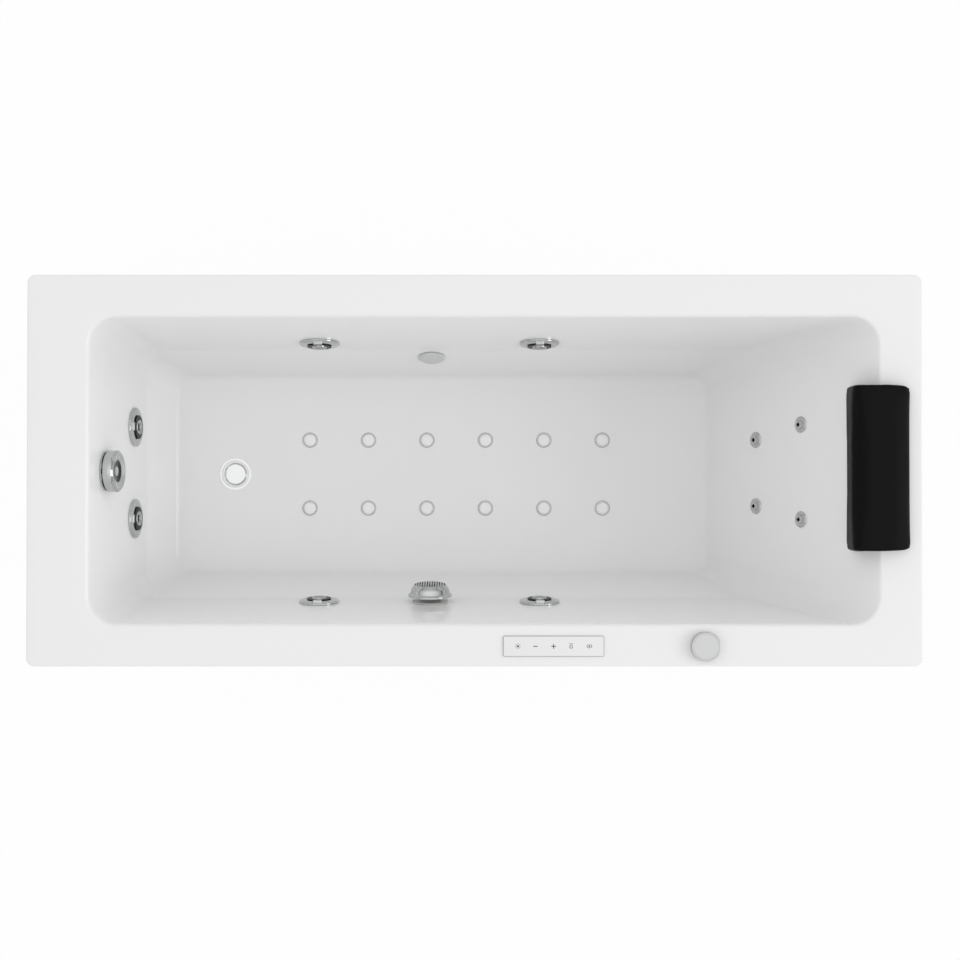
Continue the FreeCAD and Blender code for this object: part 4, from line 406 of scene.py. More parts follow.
def softened(corners, bends, steps=5):
    # a profile of (radius, height) corners in mm, each inner one turned into an arc of its own radius: the
    # arc touches both sides at radius / tan(half the corner's angle) from it, on their nearer halves
    corners = [np.array(corner, float) for corner in corners]
    profile = [corners[0]]
    for before, corner, after, radius in zip(corners, corners[1:], corners[2:], bends[1:]):
        incoming, outgoing = before - corner, after - corner
        lengths = np.linalg.norm(incoming), np.linalg.norm(outgoing)
        incoming, outgoing = incoming / lengths[0], outgoing / lengths[1]
        half = math.acos(float(np.clip(incoming @ outgoing, -1, 1))) / 2
        setback = min(radius / math.tan(half), 0.49 * lengths[0], 0.49 * lengths[1]) if radius else 0
        if setback < 1e-4 or half > 1.55:      # no arc, or sides that are nearly straight on
            profile.append(corner)
            continue
        radius = setback * math.tan(half)
        between = (incoming + outgoing) / np.linalg.norm(incoming + outgoing)
        middle = corner + between * radius / math.sin(half)
        start = corner + incoming * setback - middle
        end = corner + outgoing * setback - middle
        share = np.linspace(0, 1, steps + 1)[:, None]
        turn = math.pi - 2 * half
        arc = (np.sin((1 - share) * turn) * start + np.sin(share * turn) * end) / math.sin(turn)
        profile.extend(middle + arc)
    profile.append(corners[-1])
    return np.array(profile)


def seatMatrix(point, axis, upHint=(0, 0, 1)):
    # the seat's own frame: Z along the axis, Y as near to the hint as it can be
    z = Vector(axis).normalized()
    x = Vector(upHint).cross(z).normalized()
    turn = Matrix((x, z.cross(x), z)).transposed().to_4x4()
    return Matrix.Translation(Vector(point)) @ turn


def jointSeat(name, upHint=(0, 0, 1)):
    return seatMatrix(joints[name]["pos_m"], joints[name]["axis"], upHint)


def atSeat(shape, seat):
    # a shape moved from Z into the seat's frame
    matrix = np.array(seat)
    return shape[0] @ matrix[:3, :3].T + matrix[:3, 3], shape[1]


def fromSeat(points, seat):
    # points in metres as points in mm in the seat's frame, and their distances from its axis
    matrix = np.array(seat)
    local = (points - matrix[:3, 3]) @ matrix[:3, :3] / mm
    return local, np.hypot(local[:, 0], local[:, 1])


def shifted(shape, shift):
    return shape[0] + np.array(shift), shape[1]


def turned(profile, segments):
    # a profile (radius, height) in mm turned round Z: x = r cos a, y = r sin a, z = h
    angle = np.linspace(0, 2 * math.pi, segments, endpoint=False)
    radius, height = (np.asarray(profile)[:, [column]] * mm for column in (0, 1))
    points = np.stack(np.broadcast_arrays(radius * np.cos(angle), radius * np.sin(angle), height), axis=-1)
    return points.reshape(-1, 3), gridFaces(len(profile), segments)


def rod(radius, low, high, segments=48):
    # a closed round rod on Z
    return turned([(0.0, low), (radius, low), (radius, high), (0.0, high)], segments)


def sleeve(inner, outer, low, high, segments):
    # a closed short pipe on Z
    return turned([(inner, low), (outer, low), (outer, high), (inner, high), (inner, low)], segments)


def block(size, middle, corner=0.0, crown=0.0, rows=5):
    # a box in mm as rings of a rounded rectangle: x = side (half the size - inset - bend) + bend cos t, and y
    # alike with sin t; the inset grows along a quarter circle at the top, so the top edge is round too
    steps = 6
    starts = (0, 90, 180, 270)
    angle = np.radians(np.concatenate([np.linspace(start, start + 90, steps + 1) for start in starts]))
    quarter = np.repeat(np.arange(4), steps + 1)
    signX = np.where((quarter == 0) | (quarter == 3), 1.0, -1.0)
    signY = np.where(quarter < 2, 1.0, -1.0)
    turn = np.linspace(0, math.pi / 2, rows) if crown else np.array([0.0])
    inset = np.concatenate([[0.0], crown * (1 - np.cos(turn))])[:, None]
    height = np.concatenate([[-size[2] / 2], size[2] / 2 - crown + crown * np.sin(turn)])[:, None]
    bend = np.maximum(corner - inset, 0.02)      # never quite sharp
    x = signX * (size[0] / 2 - inset - bend) + bend * np.cos(angle)
    y = signY * (size[1] / 2 - inset - bend) + bend * np.sin(angle)
    points = np.stack(np.broadcast_arrays(x, y, height), axis=-1).reshape(-1, 3) + np.array(middle)
    count = len(angle)
    last = len(points) - count
    caps = [list(range(count))[::-1], list(range(last, last + count))]
    return points * mm, gridFaces(len(inset), count) + caps


def joined(shapes):
    # several shapes in one: the faces' numbers shift by the points before them
    points, faces, shift = [], [], 0
    for some, theirs in shapes:
        points.append(some)
        faces.extend([index + shift for index in face] for face in theirs)
        shift += len(some)
    return np.concatenate(points), faces


tub = {
    "rim": 560.0, "depth": 400.0, "wall": 6.0, "lip": 38.0, "lipEnd": 1.2,      # mm
    "foot": [(0.0, 690.0), (325.0, 650.0), (400.0, 604.0)],        # depth, distance from the middle
    "head": [(0.0, 722.5), (400.0, 468.0)],
    "side": [(0.0, 275.0), (265.0, 241.0), (400.0, 198.0)],
    "mouthEdge": 8.0, "floorEdge": 15.0, "rimEdge": 4.0, "breakBlend": 3.2,
    "mouthCorner": 50.0, "floorCorner": 30.0, "rimCorner": 15.0,
    "basinMiddle": -60.0, "bareLip": 4.5, "bareDeck": 4.2,         # where the backing doesn't show
    "alongSteps": 150, "acrossSteps": 64, "cornerSteps": 14, "mouthSteps": 7, "wallSteps": 46,
}
holes = {      # radius, and how far the cutting rod goes below and above the seat
    "jet": (27.0, -30.0, 9.0), "microJet": (10.0, -30.0, 9.0), "overflow": (24.0, -30.0, 9.0),
    "airKnob": (17.0, -30.0, 9.0), "suction_cover": (27.0, -30.0, 9.0), "light_lens": (18.0, -30.0, 9.0),
    "waste": (24.0, -40.0, 20.0), "airJet": (7.0, -30.0, 20.0), "panel": (9.1, -30.0, 20.0),
}
recess = {"clearance": 0.1, "ends": (-3.0, 20.0)}         # the floor's step for the waste's flange
airJetGrid = {"columns": 6, "capRadius": 12.5}            # the radius of a cap in the frame's own node


def ringLayout():
    # one turn round a rounded rectangle, as three arrays: share along X, share along Y, and the angle that
    # the outline faces
    quarter = np.linspace(0, math.pi / 2, tub["cornerSteps"], endpoint=False)
    along = np.linspace(0, 1, tub["alongSteps"], endpoint=False)
    across = np.linspace(0, 1, tub["acrossSteps"], endpoint=False)
    flat = np.ones_like
    pieces = [
        (flat(quarter), flat(quarter), quarter),
        (1 - along, flat(along), flat(along) * math.pi / 2),
        (0 * quarter, flat(quarter), quarter + math.pi / 2),
        (0 * across, 1 - across, flat(across) * math.pi),
        (0 * quarter, 0 * quarter, quarter + math.pi),
        (along, 0 * along, flat(along) * 1.5 * math.pi),
        (flat(quarter), 0 * quarter, quarter + 1.5 * math.pi),
        (flat(across), across, 0 * across),
    ]
    return [np.concatenate(parts) for parts in zip(*pieces)]


def wallProfile(line, grow):
    # one wall from deck to floor as (distance, depth): an arc off the deck, the leaning wall with its break
    # blended as log(1 + e^x), and an arc into the floor; grow moves it outwards for the outer skin
    depths, outs = np.array(line).T
    leans = np.diff(outs) / -np.diff(depths)
    top, bottom = math.atan(leans[0]), math.atan(leans[-1])

    def straight(depth):
        out, slope = outs[0] - leans[0] * depth, leans[0]
        if len(line) == 3:
            soft = tub["breakBlend"]
            past, change = (depth - depths[1]) / soft, leans[1] - leans[0]
            out, slope = out - change * soft * np.logaddexp(0, past), slope + change / (1 + np.exp(-past))
        lean = np.arctan(slope)
        return out + grow * np.cos(lean), depth + grow * np.sin(lean)

    mouth = max(tub["mouthEdge"] - grow, 2.0)
    edge, skin = tub["floorEdge"] + grow, tub["depth"] + grow
    startDepth = mouth - mouth * math.sin(top) + grow
    mouthOut, _ = straight(startDepth - grow * math.sin(top))
    centre = mouthOut + mouth * math.cos(top)
    turn = np.linspace(0, math.pi / 2 - top, tub["mouthSteps"])
    mouthArc = np.stack([centre - mouth * np.sin(turn), grow + mouth - mouth * np.cos(turn)], axis=1)
    endDepth = skin - edge + edge * math.sin(bottom)
    down = np.linspace(0, 1, tub["wallSteps"])[1:-1]
    wall = np.stack(straight(startDepth + down * (endDepth - startDepth) - grow * math.sin(top)), axis=1)
    floorOut, _ = straight(endDepth - grow * math.sin(bottom))
    centre = floorOut - edge * math.cos(bottom)
    turn = np.linspace(math.pi / 2 - bottom, 0, 10)
    floorArc = np.stack([centre + edge * np.sin(turn), skin - edge + edge * np.cos(turn)], axis=1)
    return np.concatenate([mouthArc, wall, floorArc])


def ringRows(foot, head, side, corner, layout):
    # rings of the shell: each row has a distance and depth for every wall and a corner radius; a point is the
    # corner's centre plus its radius along the angle, and its depth is the walls' depths mixed by the angle
    shareX, shareY, angle = layout
    cos, sin = np.cos(angle), np.sin(angle)
    corner = corner[:, None]
    low, high = corner - foot[:, :1], head[:, :1] - corner
    half = side[:, :1] - corner
    x = low + (high - low) * shareX + corner * cos
    y = half * (2 * shareY - 1) + corner * sin
    depth = (foot[:, 1:] * np.minimum(cos, 0) ** 2 + head[:, 1:] * np.maximum(cos, 0) ** 2
             + side[:, 1:] * sin ** 2)
    return np.stack([x, y, tub["rim"] - depth], axis=-1) * mm


def skinRows(grow, layout):
    # one skin of the basin from the deck down to the floor, then three rings in along the floor
    walls = [wallProfile(tub[name], grow) for name in ("foot", "head", "side")]
    side = walls[2]
    fall = np.clip(side[:, 1] / tub["depth"], 0, 1)
    corner = tub["mouthCorner"] + (tub["floorCorner"] - tub["mouthCorner"]) * fall + grow
    corner = corner + np.maximum(side[:, 0] - side[tub["mouthSteps"] - 1, 0], 0)
    share = np.arange(1, 4) / 3
    for number, wall in enumerate(walls):
        inner = np.stack([wall[-1, 0] - share * corner[-1], np.full(3, wall[-1, 1])], axis=1)
        walls[number] = np.concatenate([wall, inner])
    corner = np.concatenate([corner, corner[-1] * (1 - share) + 0.01])      # never quite sharp
    return ringRows(*walls, corner, layout)


def floorPatch(ring):
    # the flat middle of the floor: the innermost ring's four sides filled with a straight grid
    low, high = ring.min(axis=0), ring.max(axis=0)
    x = np.linspace(low[0], high[0], tub["alongSteps"] + 1)
    y = np.linspace(low[1], high[1], tub["acrossSteps"] + 1)
    across, along = np.meshgrid(x, y)
    points = np.stack([across, along, np.full_like(across, low[2])], axis=-1)
    return points.reshape(-1, 3), gridFaces(len(y), len(x), False)


def rimRows(layout):
    # the rim outside its flat deck as (how far past the edge, depth): rounded edge, lip, the lip's round end,
    # its back and the turn to the underside
    halfX, halfY = cadBox[1].x / mm, cadBox[1].y / mm
    wall, edge, under = tub["wall"], tub["rimEdge"], tub["rimEdge"] / 2
    end, bottom = tub["lipEnd"], tub["lip"] - tub["lipEnd"]
    arc = np.linspace(0, math.pi / 2, 6)
    turn = np.linspace(0, math.pi, 7)[1:]
    drop, rise = np.linspace(edge, bottom, 5)[1:], np.linspace(bottom, wall + under, 5)[1:]
    outline = np.concatenate([np.stack(part, axis=1) for part in (
        (-edge * (1 - np.sin(arc)), edge * (1 - np.cos(arc))),
        (0 * drop, drop),
        (-wall / 2 + wall / 2 * np.cos(turn), bottom + end * np.sin(turn)),
        (0 * rise - wall, rise),
        (-wall - under + under * np.cos(arc[1:]), wall + under - under * np.sin(arc[1:])),
    )])
    rows = [np.stack([half + outline[:, 0], outline[:, 1]], axis=1) for half in (halfX, halfX, halfY)]
    return ringRows(*rows, np.maximum(tub["rimCorner"] + outline[:, 0], 2.0), layout)


def wallSeat(node):
    # the seat of a fitting on a long wall: the point of the wall straight behind the node's middle
    middle = boxMiddle(node)
    side = 1 if middle.y > 0 else -1
    (_, top), (breakDepth, middleOut), (floorDepth, bottom) = tub["side"]
    depth = tub["rim"] - middle.z / mm
    upper = depth < breakDepth
    lean = (top - middleOut) / breakDepth if upper else (middleOut - bottom) / (floorDepth - breakDepth)
    start, startOut = (0.0, top) if upper else (breakDepth, middleOut)
    axis = Vector((0, -side, lean)).normalized()
    onWall = Vector((middle.x, side * (startOut - lean * (depth - start)) * mm, middle.z))
    return seatMatrix(onWall - axis * ((onWall - middle) @ axis), axis)


def airJetPlaces():
    # the floor jets' centres: the box of the caps' node split into columns and two rows
    low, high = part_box("air_jet_caps")
    radius = airJetGrid["capRadius"] * mm
    columns = np.linspace(low.x + radius, high.x - radius, airJetGrid["columns"])
    return [(x, y) for y in (high.y - radius, low.y + radius) for x in columns]


def cutHoles(shell):
    # every fitting's hole, the waste's recess and the air jets' holes, cut by rods in one go
    seats = [(jointSeat(f"jet_face_{number}_turn"), "jet") for number in range(1, 7)]
    seats += [(jointSeat(f"micro_nozzle_{number}_spin"), "microJet") for number in range(1, 5)]
    seats.append((jointSeat("overflow_knob_turn"), "overflow"))
    seats.append((jointSeat("air_knob_turn", (0, 1, 0)), "airKnob"))
    seats += [(wallSeat(node), node) for node in ("suction_cover", "light_lens")]
    rods = [atSeat(rod(*holes[name]), seat) for seat, name in seats]
    floor = (tub["rim"] - tub["depth"]) * mm
    low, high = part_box("waste_flange")
    waste = (*((low + high) / 2)[:2], floor)
    step = (high.x - low.x) / 2 / mm + recess["clearance"]
    rods += [shifted(rod(step, *recess["ends"]), waste), shifted(rod(*holes["waste"]), waste)]
    rods += [shifted(rod(*holes["airJet"]), (x, y, floor)) for x, y in airJetPlaces()]
    panelPlace = (*boxMiddle("touch_panel")[:2], tub["rim"] * mm)
    cutAway(shell, joined(rods + [shifted(rod(*holes["panel"]), panelPlace)]))


def makeTub():
    # two skins, the deck, the rim and its underside as rings, with flat patches in the two floors
    layout = ringLayout()
    inner, outer, rim = skinRows(0.0, layout), skinRows(tub["wall"], layout), rimRows(layout)
    share = np.linspace(0, 1, 6)[1:-1, None, None]
    deck = inner[0] + (rim[0] - inner[0]) * share
    under = rim[-1] + (outer[0] - rim[-1]) * share
    rings = np.concatenate([inner[::-1], deck, rim, under, outer])
    body = (rings.reshape(-1, 3), gridFaces(*rings.shape[:2]))
    shape = joined([body, floorPatch(inner[-1]), floorPatch(outer[-1])])
    shell = newPiece("tubShell", shape, "tub", "acrylic", ["tub_shell"], 30.0, 5e-5)
    cutHoles(shell)
    normals = vectorsOf(shell.data.polygons, "normal")

    def backed(centres):
        middle = np.array([tub["basinMiddle"] * mm, 0.0, centres[:, 2].max()])
        outwards = np.einsum("ij,ij->i", centres - middle, normals) > 0
        lip = np.any(np.abs(centres[:, :2]) > np.array(cadBox[1])[:2] - tub["bareLip"] * mm, axis=1)
        deckTop = (centres[:, 2] > (tub["rim"] - tub["bareDeck"]) * mm) & (normals[:, 2] > -0.5)
        return outwards & ~lip & ~deckTop

    paintFaces(shell, "resinBacking", backed)
    print("tub shell:", len(normals), "faces")


makeTub()

jet = {
    "bore": 21.4, "lipOverhang": 1.6, "flange": 34.3, "face": 38.0, "under": 2.8, "top": 6.9,
    "ball": 15.0, "ballCentre": 5.0, "ballFront": 5.2, "ballBack": 9.0, "outlet": 7.0,
    "socketBack": -14.0, "socketLip": 6.4, "socketTop": 8.4, "socketHole": 12.0, "clearance": 0.3,
    "tabWidth": 17.0, "tabLength": 6.5, "tabTop": 10.5, "tabBase": 3.0,
}


def jetFace():
    # a jet's turning face: the ring's section turned round its seat, with soft edges, and a finger tab
    inner, face, under, top = jet["bore"] + jet["clearance"], jet["face"], jet["under"], jet["top"]
    ring = softened([
        (inner, under), (jet["flange"], under), (jet["flange"], 0.3), (face, 0.3),
        (face, 3.5), (face - 3.5, top - 1.8), (inner + 5.6, top - 0.2),
        (inner + jet["lipOverhang"] + 1.8, top - 1.3), (inner, top - 1.3), (inner, under),
    ], [0, 0.2, 0.2, 0.3, 1.1, 2.2, 1.0, 0.6, 0.3, 0], 4)
    low, high, length = jet["tabBase"], jet["tabTop"], jet["tabLength"]
    middle = (0.0, face - length / 2 - 1.5, (high + low) / 2)
    return joined([turned(ring, 120), block((jet["tabWidth"], length, high - low), middle, 2.4, 1.2)])


def jetNozzle():
    # the eyeball: a ball cut flat in front, bored with a flared mouth, and a fine groove round the mouth
    ball, centre, outlet = jet["ball"], jet["ballCentre"], jet["outlet"]
    top, bottom = centre + jet["ballFront"], centre - jet["ballBack"]
    turn = np.linspace(math.asin(-jet["ballBack"] / ball), math.asin(jet["ballFront"] / ball), 22)
    outside = np.stack([ball * np.cos(turn), centre + ball * np.sin(turn)], axis=1)
    edge = outside[-1, 0]
    mouth = [(edge - 0.6, top + 0.2), (edge - 1.8, top - 0.1), (outlet + 2.0, top - 1.4),
             (outlet + 1.2, top - 1.5), (outlet + 0.4, top - 2.1), (outlet, top - 3.4), (outlet, bottom),
             (outside[0, 0], bottom)]
    return turned(np.concatenate([outside, mouth]), 96)


def jetSocket():
    # the black seat round the eyeball: a ring with a ball-shaped inside and a rounded lip over the face
    outer, back = jet["bore"], jet["socketBack"]
    over, centre, lip, top = outer + jet["lipOverhang"], jet["ballCentre"], jet["socketLip"], jet["socketTop"]
    clear = jet["ball"] + jet["clearance"]
    rise = np.linspace(math.asin((top - centre) / clear), -math.asin(jet["ballBack"] / clear), 14)
    inside = np.stack([clear * np.cos(rise), centre + clear * np.sin(rise)], axis=1)
    edge = softened([(outer, lip), (over, lip), (over, top), (inside[0, 0] + 0.6, top), inside[0]],
                    [0, 0.4, 1.1, 0.8, 0], 5)
    lower = [(jet["socketHole"], centre - jet["ballBack"] - 0.6), (jet["socketHole"], back),
             (outer, back), (outer, lip)]
    return turned(np.concatenate([edge, inside[1:], lower]), 96)


def makeJets():
    # the faces and eyeballs ride on their own bodies, the black seats are one fixed piece
    shapes = (("jetFace", jetFace(), "jet_face", "chrome"),
              ("jetNozzle", jetNozzle(), "jet_nozzle", "nozzleChrome"))
    sockets = []
    for number in range(1, 7):
        seat = jointSeat(f"jet_face_{number}_turn")
        for name, shape, stem, look in shapes:
            node = f"{stem}_{number}"
            newPiece(f"{name}{number}", atSeat(shape, seat), node, look, [node])
        sockets.append(atSeat(jetSocket(), seat))
    newPiece("jetSockets", joined(sockets), "tub", "seatBlack", ["jet_sockets"])
    print("water jets:", len(sockets))


makeJets()

microJet = {"flange": 15.5, "height": 2.4, "nozzle": 8.0, "depth": 8.3, "outlet": 3.4, "reach": 20.0,
            "stem": 9.9, "bore": 6.0}


def microFlange():
    # a domed chrome flange with its stem, its section turned round the seat
    nozzle, height, bore = microJet["nozzle"] + 0.05, microJet["height"], microJet["bore"]
    flange, stem, reach = microJet["flange"], microJet["stem"], -microJet["reach"]
    return turned(softened([
        (bore, reach), (stem, reach), (stem, 0.0), (flange, 0.0), (flange, 1.0),
        (flange - 2.6, height + 0.25), (nozzle + 0.95, height), (nozzle, height - 0.5),
        (nozzle, -microJet["depth"]), (bore, -microJet["depth"]), (bore, reach),
    ], [0, 0.3, 0.2, 0.3, 0.6, 1.6, 0.4, 0.3, 0, 0, 0], 4), 80)


def microNozzle():
    # the nozzle's face as rings that move from the rim to the off-centre outlet: each ring is a circle whose
    # radius and centre run together from the rim's to the outlet's, then the outlet's wall goes down
    angle = np.linspace(0, 2 * math.pi, 72, endpoint=False)
    rim, outlet, bore, height = (microJet[key] for key in ("nozzle", "outlet", "bore", "height"))
    shift, deep, top = -rim / 2, 0.3 - microJet["depth"], height + 1.0
    rows = [(bore, 0.0, deep), (rim, 0.0, deep), (rim, 0.0, height), (rim - 0.25, 0.0, top - 0.45),
            (rim - 0.8, 0.0, top - 0.1), (rim - 1.5, 0.0, top), (outlet + 1.4, shift * 0.92, top),
            (outlet + 0.5, shift, top - 0.15), (outlet, shift, top - 0.8), (outlet, shift, deep),
            (bore, 0.0, deep)]
    radius, centre, level = (np.array(column)[:, None] for column in zip(*rows))
    grid = np.broadcast_arrays(radius * np.cos(angle), centre + radius * np.sin(angle), level)
    return np.stack(grid, axis=-1).reshape(-1, 3) * mm, gridFaces(len(rows), len(angle))


def makeMicroJets():
    # the back jets: the four flanges are one fixed piece, and each grey nozzle's outlet is painted black as
    # shade in the hole
    seats = [jointSeat(f"micro_nozzle_{number}_spin") for number in range(1, 5)]
    flanges = joined([atSeat(microFlange(), seat) for seat in seats])
    newPiece("microJetFlanges", flanges, "tub", "chrome", ["micro_jet_flanges"])
    for number, seat in enumerate(seats, 1):
        node = f"micro_nozzle_{number}"
        nozzle = newPiece(f"microNozzle{number}", atSeat(microNozzle(), seat), node, "nozzleGrey", [node])

        # painted shade: the outlet's lip and bore are painted black
        def inShadedOutlet(middles):
            local, _ = fromSeat(middles, seat)
            away = np.hypot(local[:, 0], local[:, 1] + microJet["nozzle"] / 2)
            return (away < microJet["outlet"] + 0.3) & (local[:, 2] > -microJet["depth"])

        paintFaces(nozzle, "stripBlackAndHoleShade", inShadedOutlet)
    print("back jets:", len(seats))


makeMicroJets()

airJet = {"ring": 15.5, "cap": 11.7, "bore": 4.9, "thread": 6.9, "reach": 18.0, "capTop": 4.8,
          "capEdge": 2.3, "capBase": 1.75, "stem": 6.0, "ringBore": 5.0, "ringTop": 1.6}


def makeAirJets():
    # floor air jets: a flat ring and a low domed cap on its stem, both turned round Z at each place; the dome
    # is r = cap cos(t)^0.8, h = edge + (top - edge) sin(t)
    cap, bore, thread = airJet["cap"], airJet["ringBore"], airJet["thread"]
    outer, top, reach = airJet["ring"], airJet["ringTop"], -airJet["reach"]
    ring = softened([
        (bore, reach), (thread, reach), (thread, 0.0), (outer, 0.0), (outer, 0.5), (outer - 1.3, top),
        (bore, top), (bore, reach),
    ], [0, 0.2, 0.1, 0.2, 0.5, 0.6, 0, 0], 4)
    rise = np.linspace(0, math.pi / 2, 12)
    edge, base, stem = airJet["capEdge"], airJet["capBase"], airJet["bore"]
    dome = np.stack([cap * np.cos(rise) ** 0.8, edge + (airJet["capTop"] - edge) * np.sin(rise)], axis=1)
    dome[-1, 0] = 0.0
    under = [(0.0, -airJet["stem"]), (stem, -airJet["stem"]), (stem, base), (cap - 0.8, base), (cap, 2.1)]
    caps = np.concatenate([under, dome])
    floor = (tub["rim"] - tub["depth"]) * mm
    places = [(x, y, floor) for x, y in airJetPlaces()]
    for name, profile, look, node in (("airJetRings", ring, "ringGrey", "air_jet_rings"),
                                      ("airJetCaps", caps, "capWhite", "air_jet_caps")):
        shape = turned(profile, 64)
        newPiece(name, joined([shifted(shape, place) for place in places]), "tub", look, [node])
    print("floor air jets:", len(places))


makeAirJets()

suction = {"radius": 42.0, "inner": 34.1, "height": 27.0, "wall": 3.0, "slots": 13, "pitch": 4.6,
           "slotWidth": 2.3, "slotReach": 30.0}


def makeSuctionCover():
    # the suction's domed cover: its section turned round the seat, then slots cut straight through by slabs
    # whose ends lie on a circle, reach = sqrt(slotReach^2 - x^2)
    high, wall, radius, inner = suction["height"], suction["wall"], suction["radius"], suction["inner"]
    section = softened([
        (inner, 0.0), (radius, 0.0), (radius, 3.4), (radius - 4.0, 5.8), (radius - 6.2, high * 0.55),
        (radius - 12.0, high * 0.85), (radius - 25.0, high), (0.0, high), (0.0, high - wall),
        (radius - 26.0, high - wall), (radius - 14.5, high * 0.82 - wall), (inner, 7.0), (inner, 0.0),
    ], [0, 0.3, 1.6, 3.5, 9.0, 8.0, 22.0, 0, 0, 16.0, 6.0, 1.0, 0], 6)
    cover = newPiece("suctionCover", turned(section, 128), "tub", "chrome", ["suction_cover"], 35.0)
    slabs = []
    for number in range(suction["slots"]):
        x = (number - (suction["slots"] - 1) / 2) * suction["pitch"]
        reach = math.sqrt(suction["slotReach"] ** 2 - x ** 2)
        slabs.append(block((suction["slotWidth"], 2 * reach, high), (x, 0.0, high * 0.97), 1.1))
    cutAway(cover, joined(slabs))
    cover.data.transform(wallSeat("suction_cover"))
    smoothTo(cover.data, 35.0)
    print("suction cover slots:", suction["slots"])


makeSuctionCover()

lamp = {"lens": 26.0, "bead": 22.0, "domeBase": 3.9, "rise": 1.4, "ripple": 0.14, "rippleRate": 1.35}


def makeLampLens():
    # the light's lens: a flat bead round a dome pressed with four rings, turned round the wall's seat; the
    # dome is h = base + rise (1 - (r / bead)^2) + ripple cos(rate r)
    lens, bead, base = lamp["lens"], lamp["bead"], lamp["domeBase"]
    radius = np.linspace(bead - 1.2, 0, 40)
    ripple = lamp["ripple"] * np.cos(radius * lamp["rippleRate"])
    dome = base + lamp["rise"] * (1 - (radius / bead) ** 2) + ripple
    edge = softened([(0.0, 0.0), (lens, 0.0), (lens, 1.5), (bead + 0.6, 4.4), (bead - 1.0, base)],
                    [0, 0.3, 0.8, 0.9, 0], 5)
    shape = turned(np.concatenate([edge, np.stack([radius, dome], axis=1)]), 96)
    newPiece("lampLens", atSeat(shape, wallSeat("light_lens")), "tub", "lensGlass", ["light_lens"])
    print("lamp lens done")


makeLampLens()

overflow = {"knob": 38.5, "top": 25.0, "skirt": 6.0, "spindle": 5.0, "rim": 9.0, "dish": 5.0,
            "ring": (8.5, 20.5), "reach": 14.0, "shell": 4.0}


def makeOverflow():
    # the overflow knob: a deep cup turned round the wall's seat, its front dished as a parabola, with a dark
    # ring painted in the dish as its reflection
    top, radius, spindle, dish, skirt = (overflow[key] for key in ("top", "knob", "spindle", "dish", "skirt"))
    rim, inside, reach = radius - overflow["rim"], radius - overflow["shell"], -overflow["reach"]
    share = np.linspace(1, 0, 24)
    bowl = np.stack([rim * share, top - dish + (dish - 0.7) * share ** 2], axis=1)
    wall = softened([
        (spindle, reach), (spindle, top - 9.0), (inside, top - 9.0), (inside, skirt), (radius - 1.2, skirt),
        (radius, skirt + 1.4), (radius, top - 3.0), (radius - 3.0, top), (rim + 2.5, top), (rim, top - 0.7),
    ], [0, 0, 2.0, 0.5, 0.4, 0.6, 2.6, 1.6, 1.2, 0], 6)
    seat = jointSeat("overflow_knob_turn")
    shape = turned(np.concatenate([[(0.0, reach)], wall, bowl[1:]]), 128)
    handle = newPiece("overflowKnob", atSeat(shape, seat), "overflow_knob", "chrome", ["overflow_knob"])
    near, far = overflow["ring"]

    def inPaintedReflection(middles):
        local, radii = fromSeat(middles, seat)
        return (local[:, 2] > top - 1.6 * dish) & (radii > near) & (radii < far)

    # painted reflection: the dark ring on the dish is colour, not a part
    paintFaces(handle, "dishReflectionChrome", inPaintedReflection)
    print("overflow knob done")


makeOverflow()

waste = {"flange": 37.5, "recess": 3.2, "plug": 21.3, "tube": 20.0, "thread": 23.9, "reach": 30.0,
         "stem": 4.0, "bevel": 5.6, "plugReach": 24.0, "hub": (4.05, 7.5, -18.0, -8.0), "crown": 0.9}


def makeWaste():
    # the waste: a dished chrome flange turned round Z with a bead at its edge, its spoked hub, and the plug
    # with its low crown; the flange's sloping bevel is painted in darker chrome as shade
    flange, tube, thread, reach = waste["flange"], waste["tube"], waste["thread"], -waste["reach"]
    bore, bevel = waste["plug"] + 0.3, flange - waste["bevel"]
    middle = boxMiddle("waste_plug")
    place = np.array((middle.x, middle.y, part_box("waste_flange")[1].z - waste["recess"] * mm))
    ring = softened([
        (tube, reach), (thread, reach), (thread, 0.0), (flange, 0.0), (flange, 0.3), (bevel, 3.2),
        (bevel - 2.2, 3.2), (bore + 2.4, 2.4), (bore, 1.6), (bore, -0.6), (tube, -0.6), (tube, reach),
    ], [0, 0.2, 0.2, 0.2, 0.3, 3.0, 2.0, 1.2, 0.5, 0.1, 0.1, 0], 5)
    shapes = [turned(ring, 128), sleeve(*waste["hub"], 48)]
    shapes += aroundZ(block((14.5, 3.0, 6.0), (13.6, 0.0, -13.0), 0.4, 0.4), 4, 45)
    seated = newPiece("wasteFlange", shifted(joined(shapes), place), "tub", "lightChrome", ["waste_flange"])

    def onShadedBevel(middles):
        return np.hypot(*(middles - place)[:, :2].T) / mm > bevel

    # painted shade: the sloping bevel takes the darker chrome, for the dark ring round the flange
    paintFaces(seated, "chrome", onShadedBevel)
    plug, stem, low = waste["plug"], waste["stem"], -waste["plugReach"]
    turn = np.linspace(0, 1, 12) * math.pi / 2
    crown = np.stack([(plug - 1.6) * np.cos(turn), 4.5 + waste["crown"] * np.sin(turn)], axis=1)
    crown[-1, 0] = 0.0
    side = softened([(0.0, low), (stem, low), (stem, -0.3), (plug, -0.3), (plug, 3.6), (plug - 0.7, 4.3),
                     (plug - 1.6, 4.5)], [0, 0.8, 0.3, 0.4, 0.4, 0.4, 0], 5)
    shape = shifted(turned(np.concatenate([side[:-1], crown]), 128), place)
    newPiece("wastePlug", shape, "waste_plug", "lightChrome", ["waste_plug"])
    print("waste done")


def aroundZ(shape, count, first=0):
    # copies of a shape at even turns round Z, the first at an angle in degrees
    turns = [Matrix.Rotation(math.radians(first + 360 / count * number), 3, "Z") for number in range(count)]
    return [(shape[0] @ np.array(turn).T, shape[1]) for turn in turns]


makeWaste()

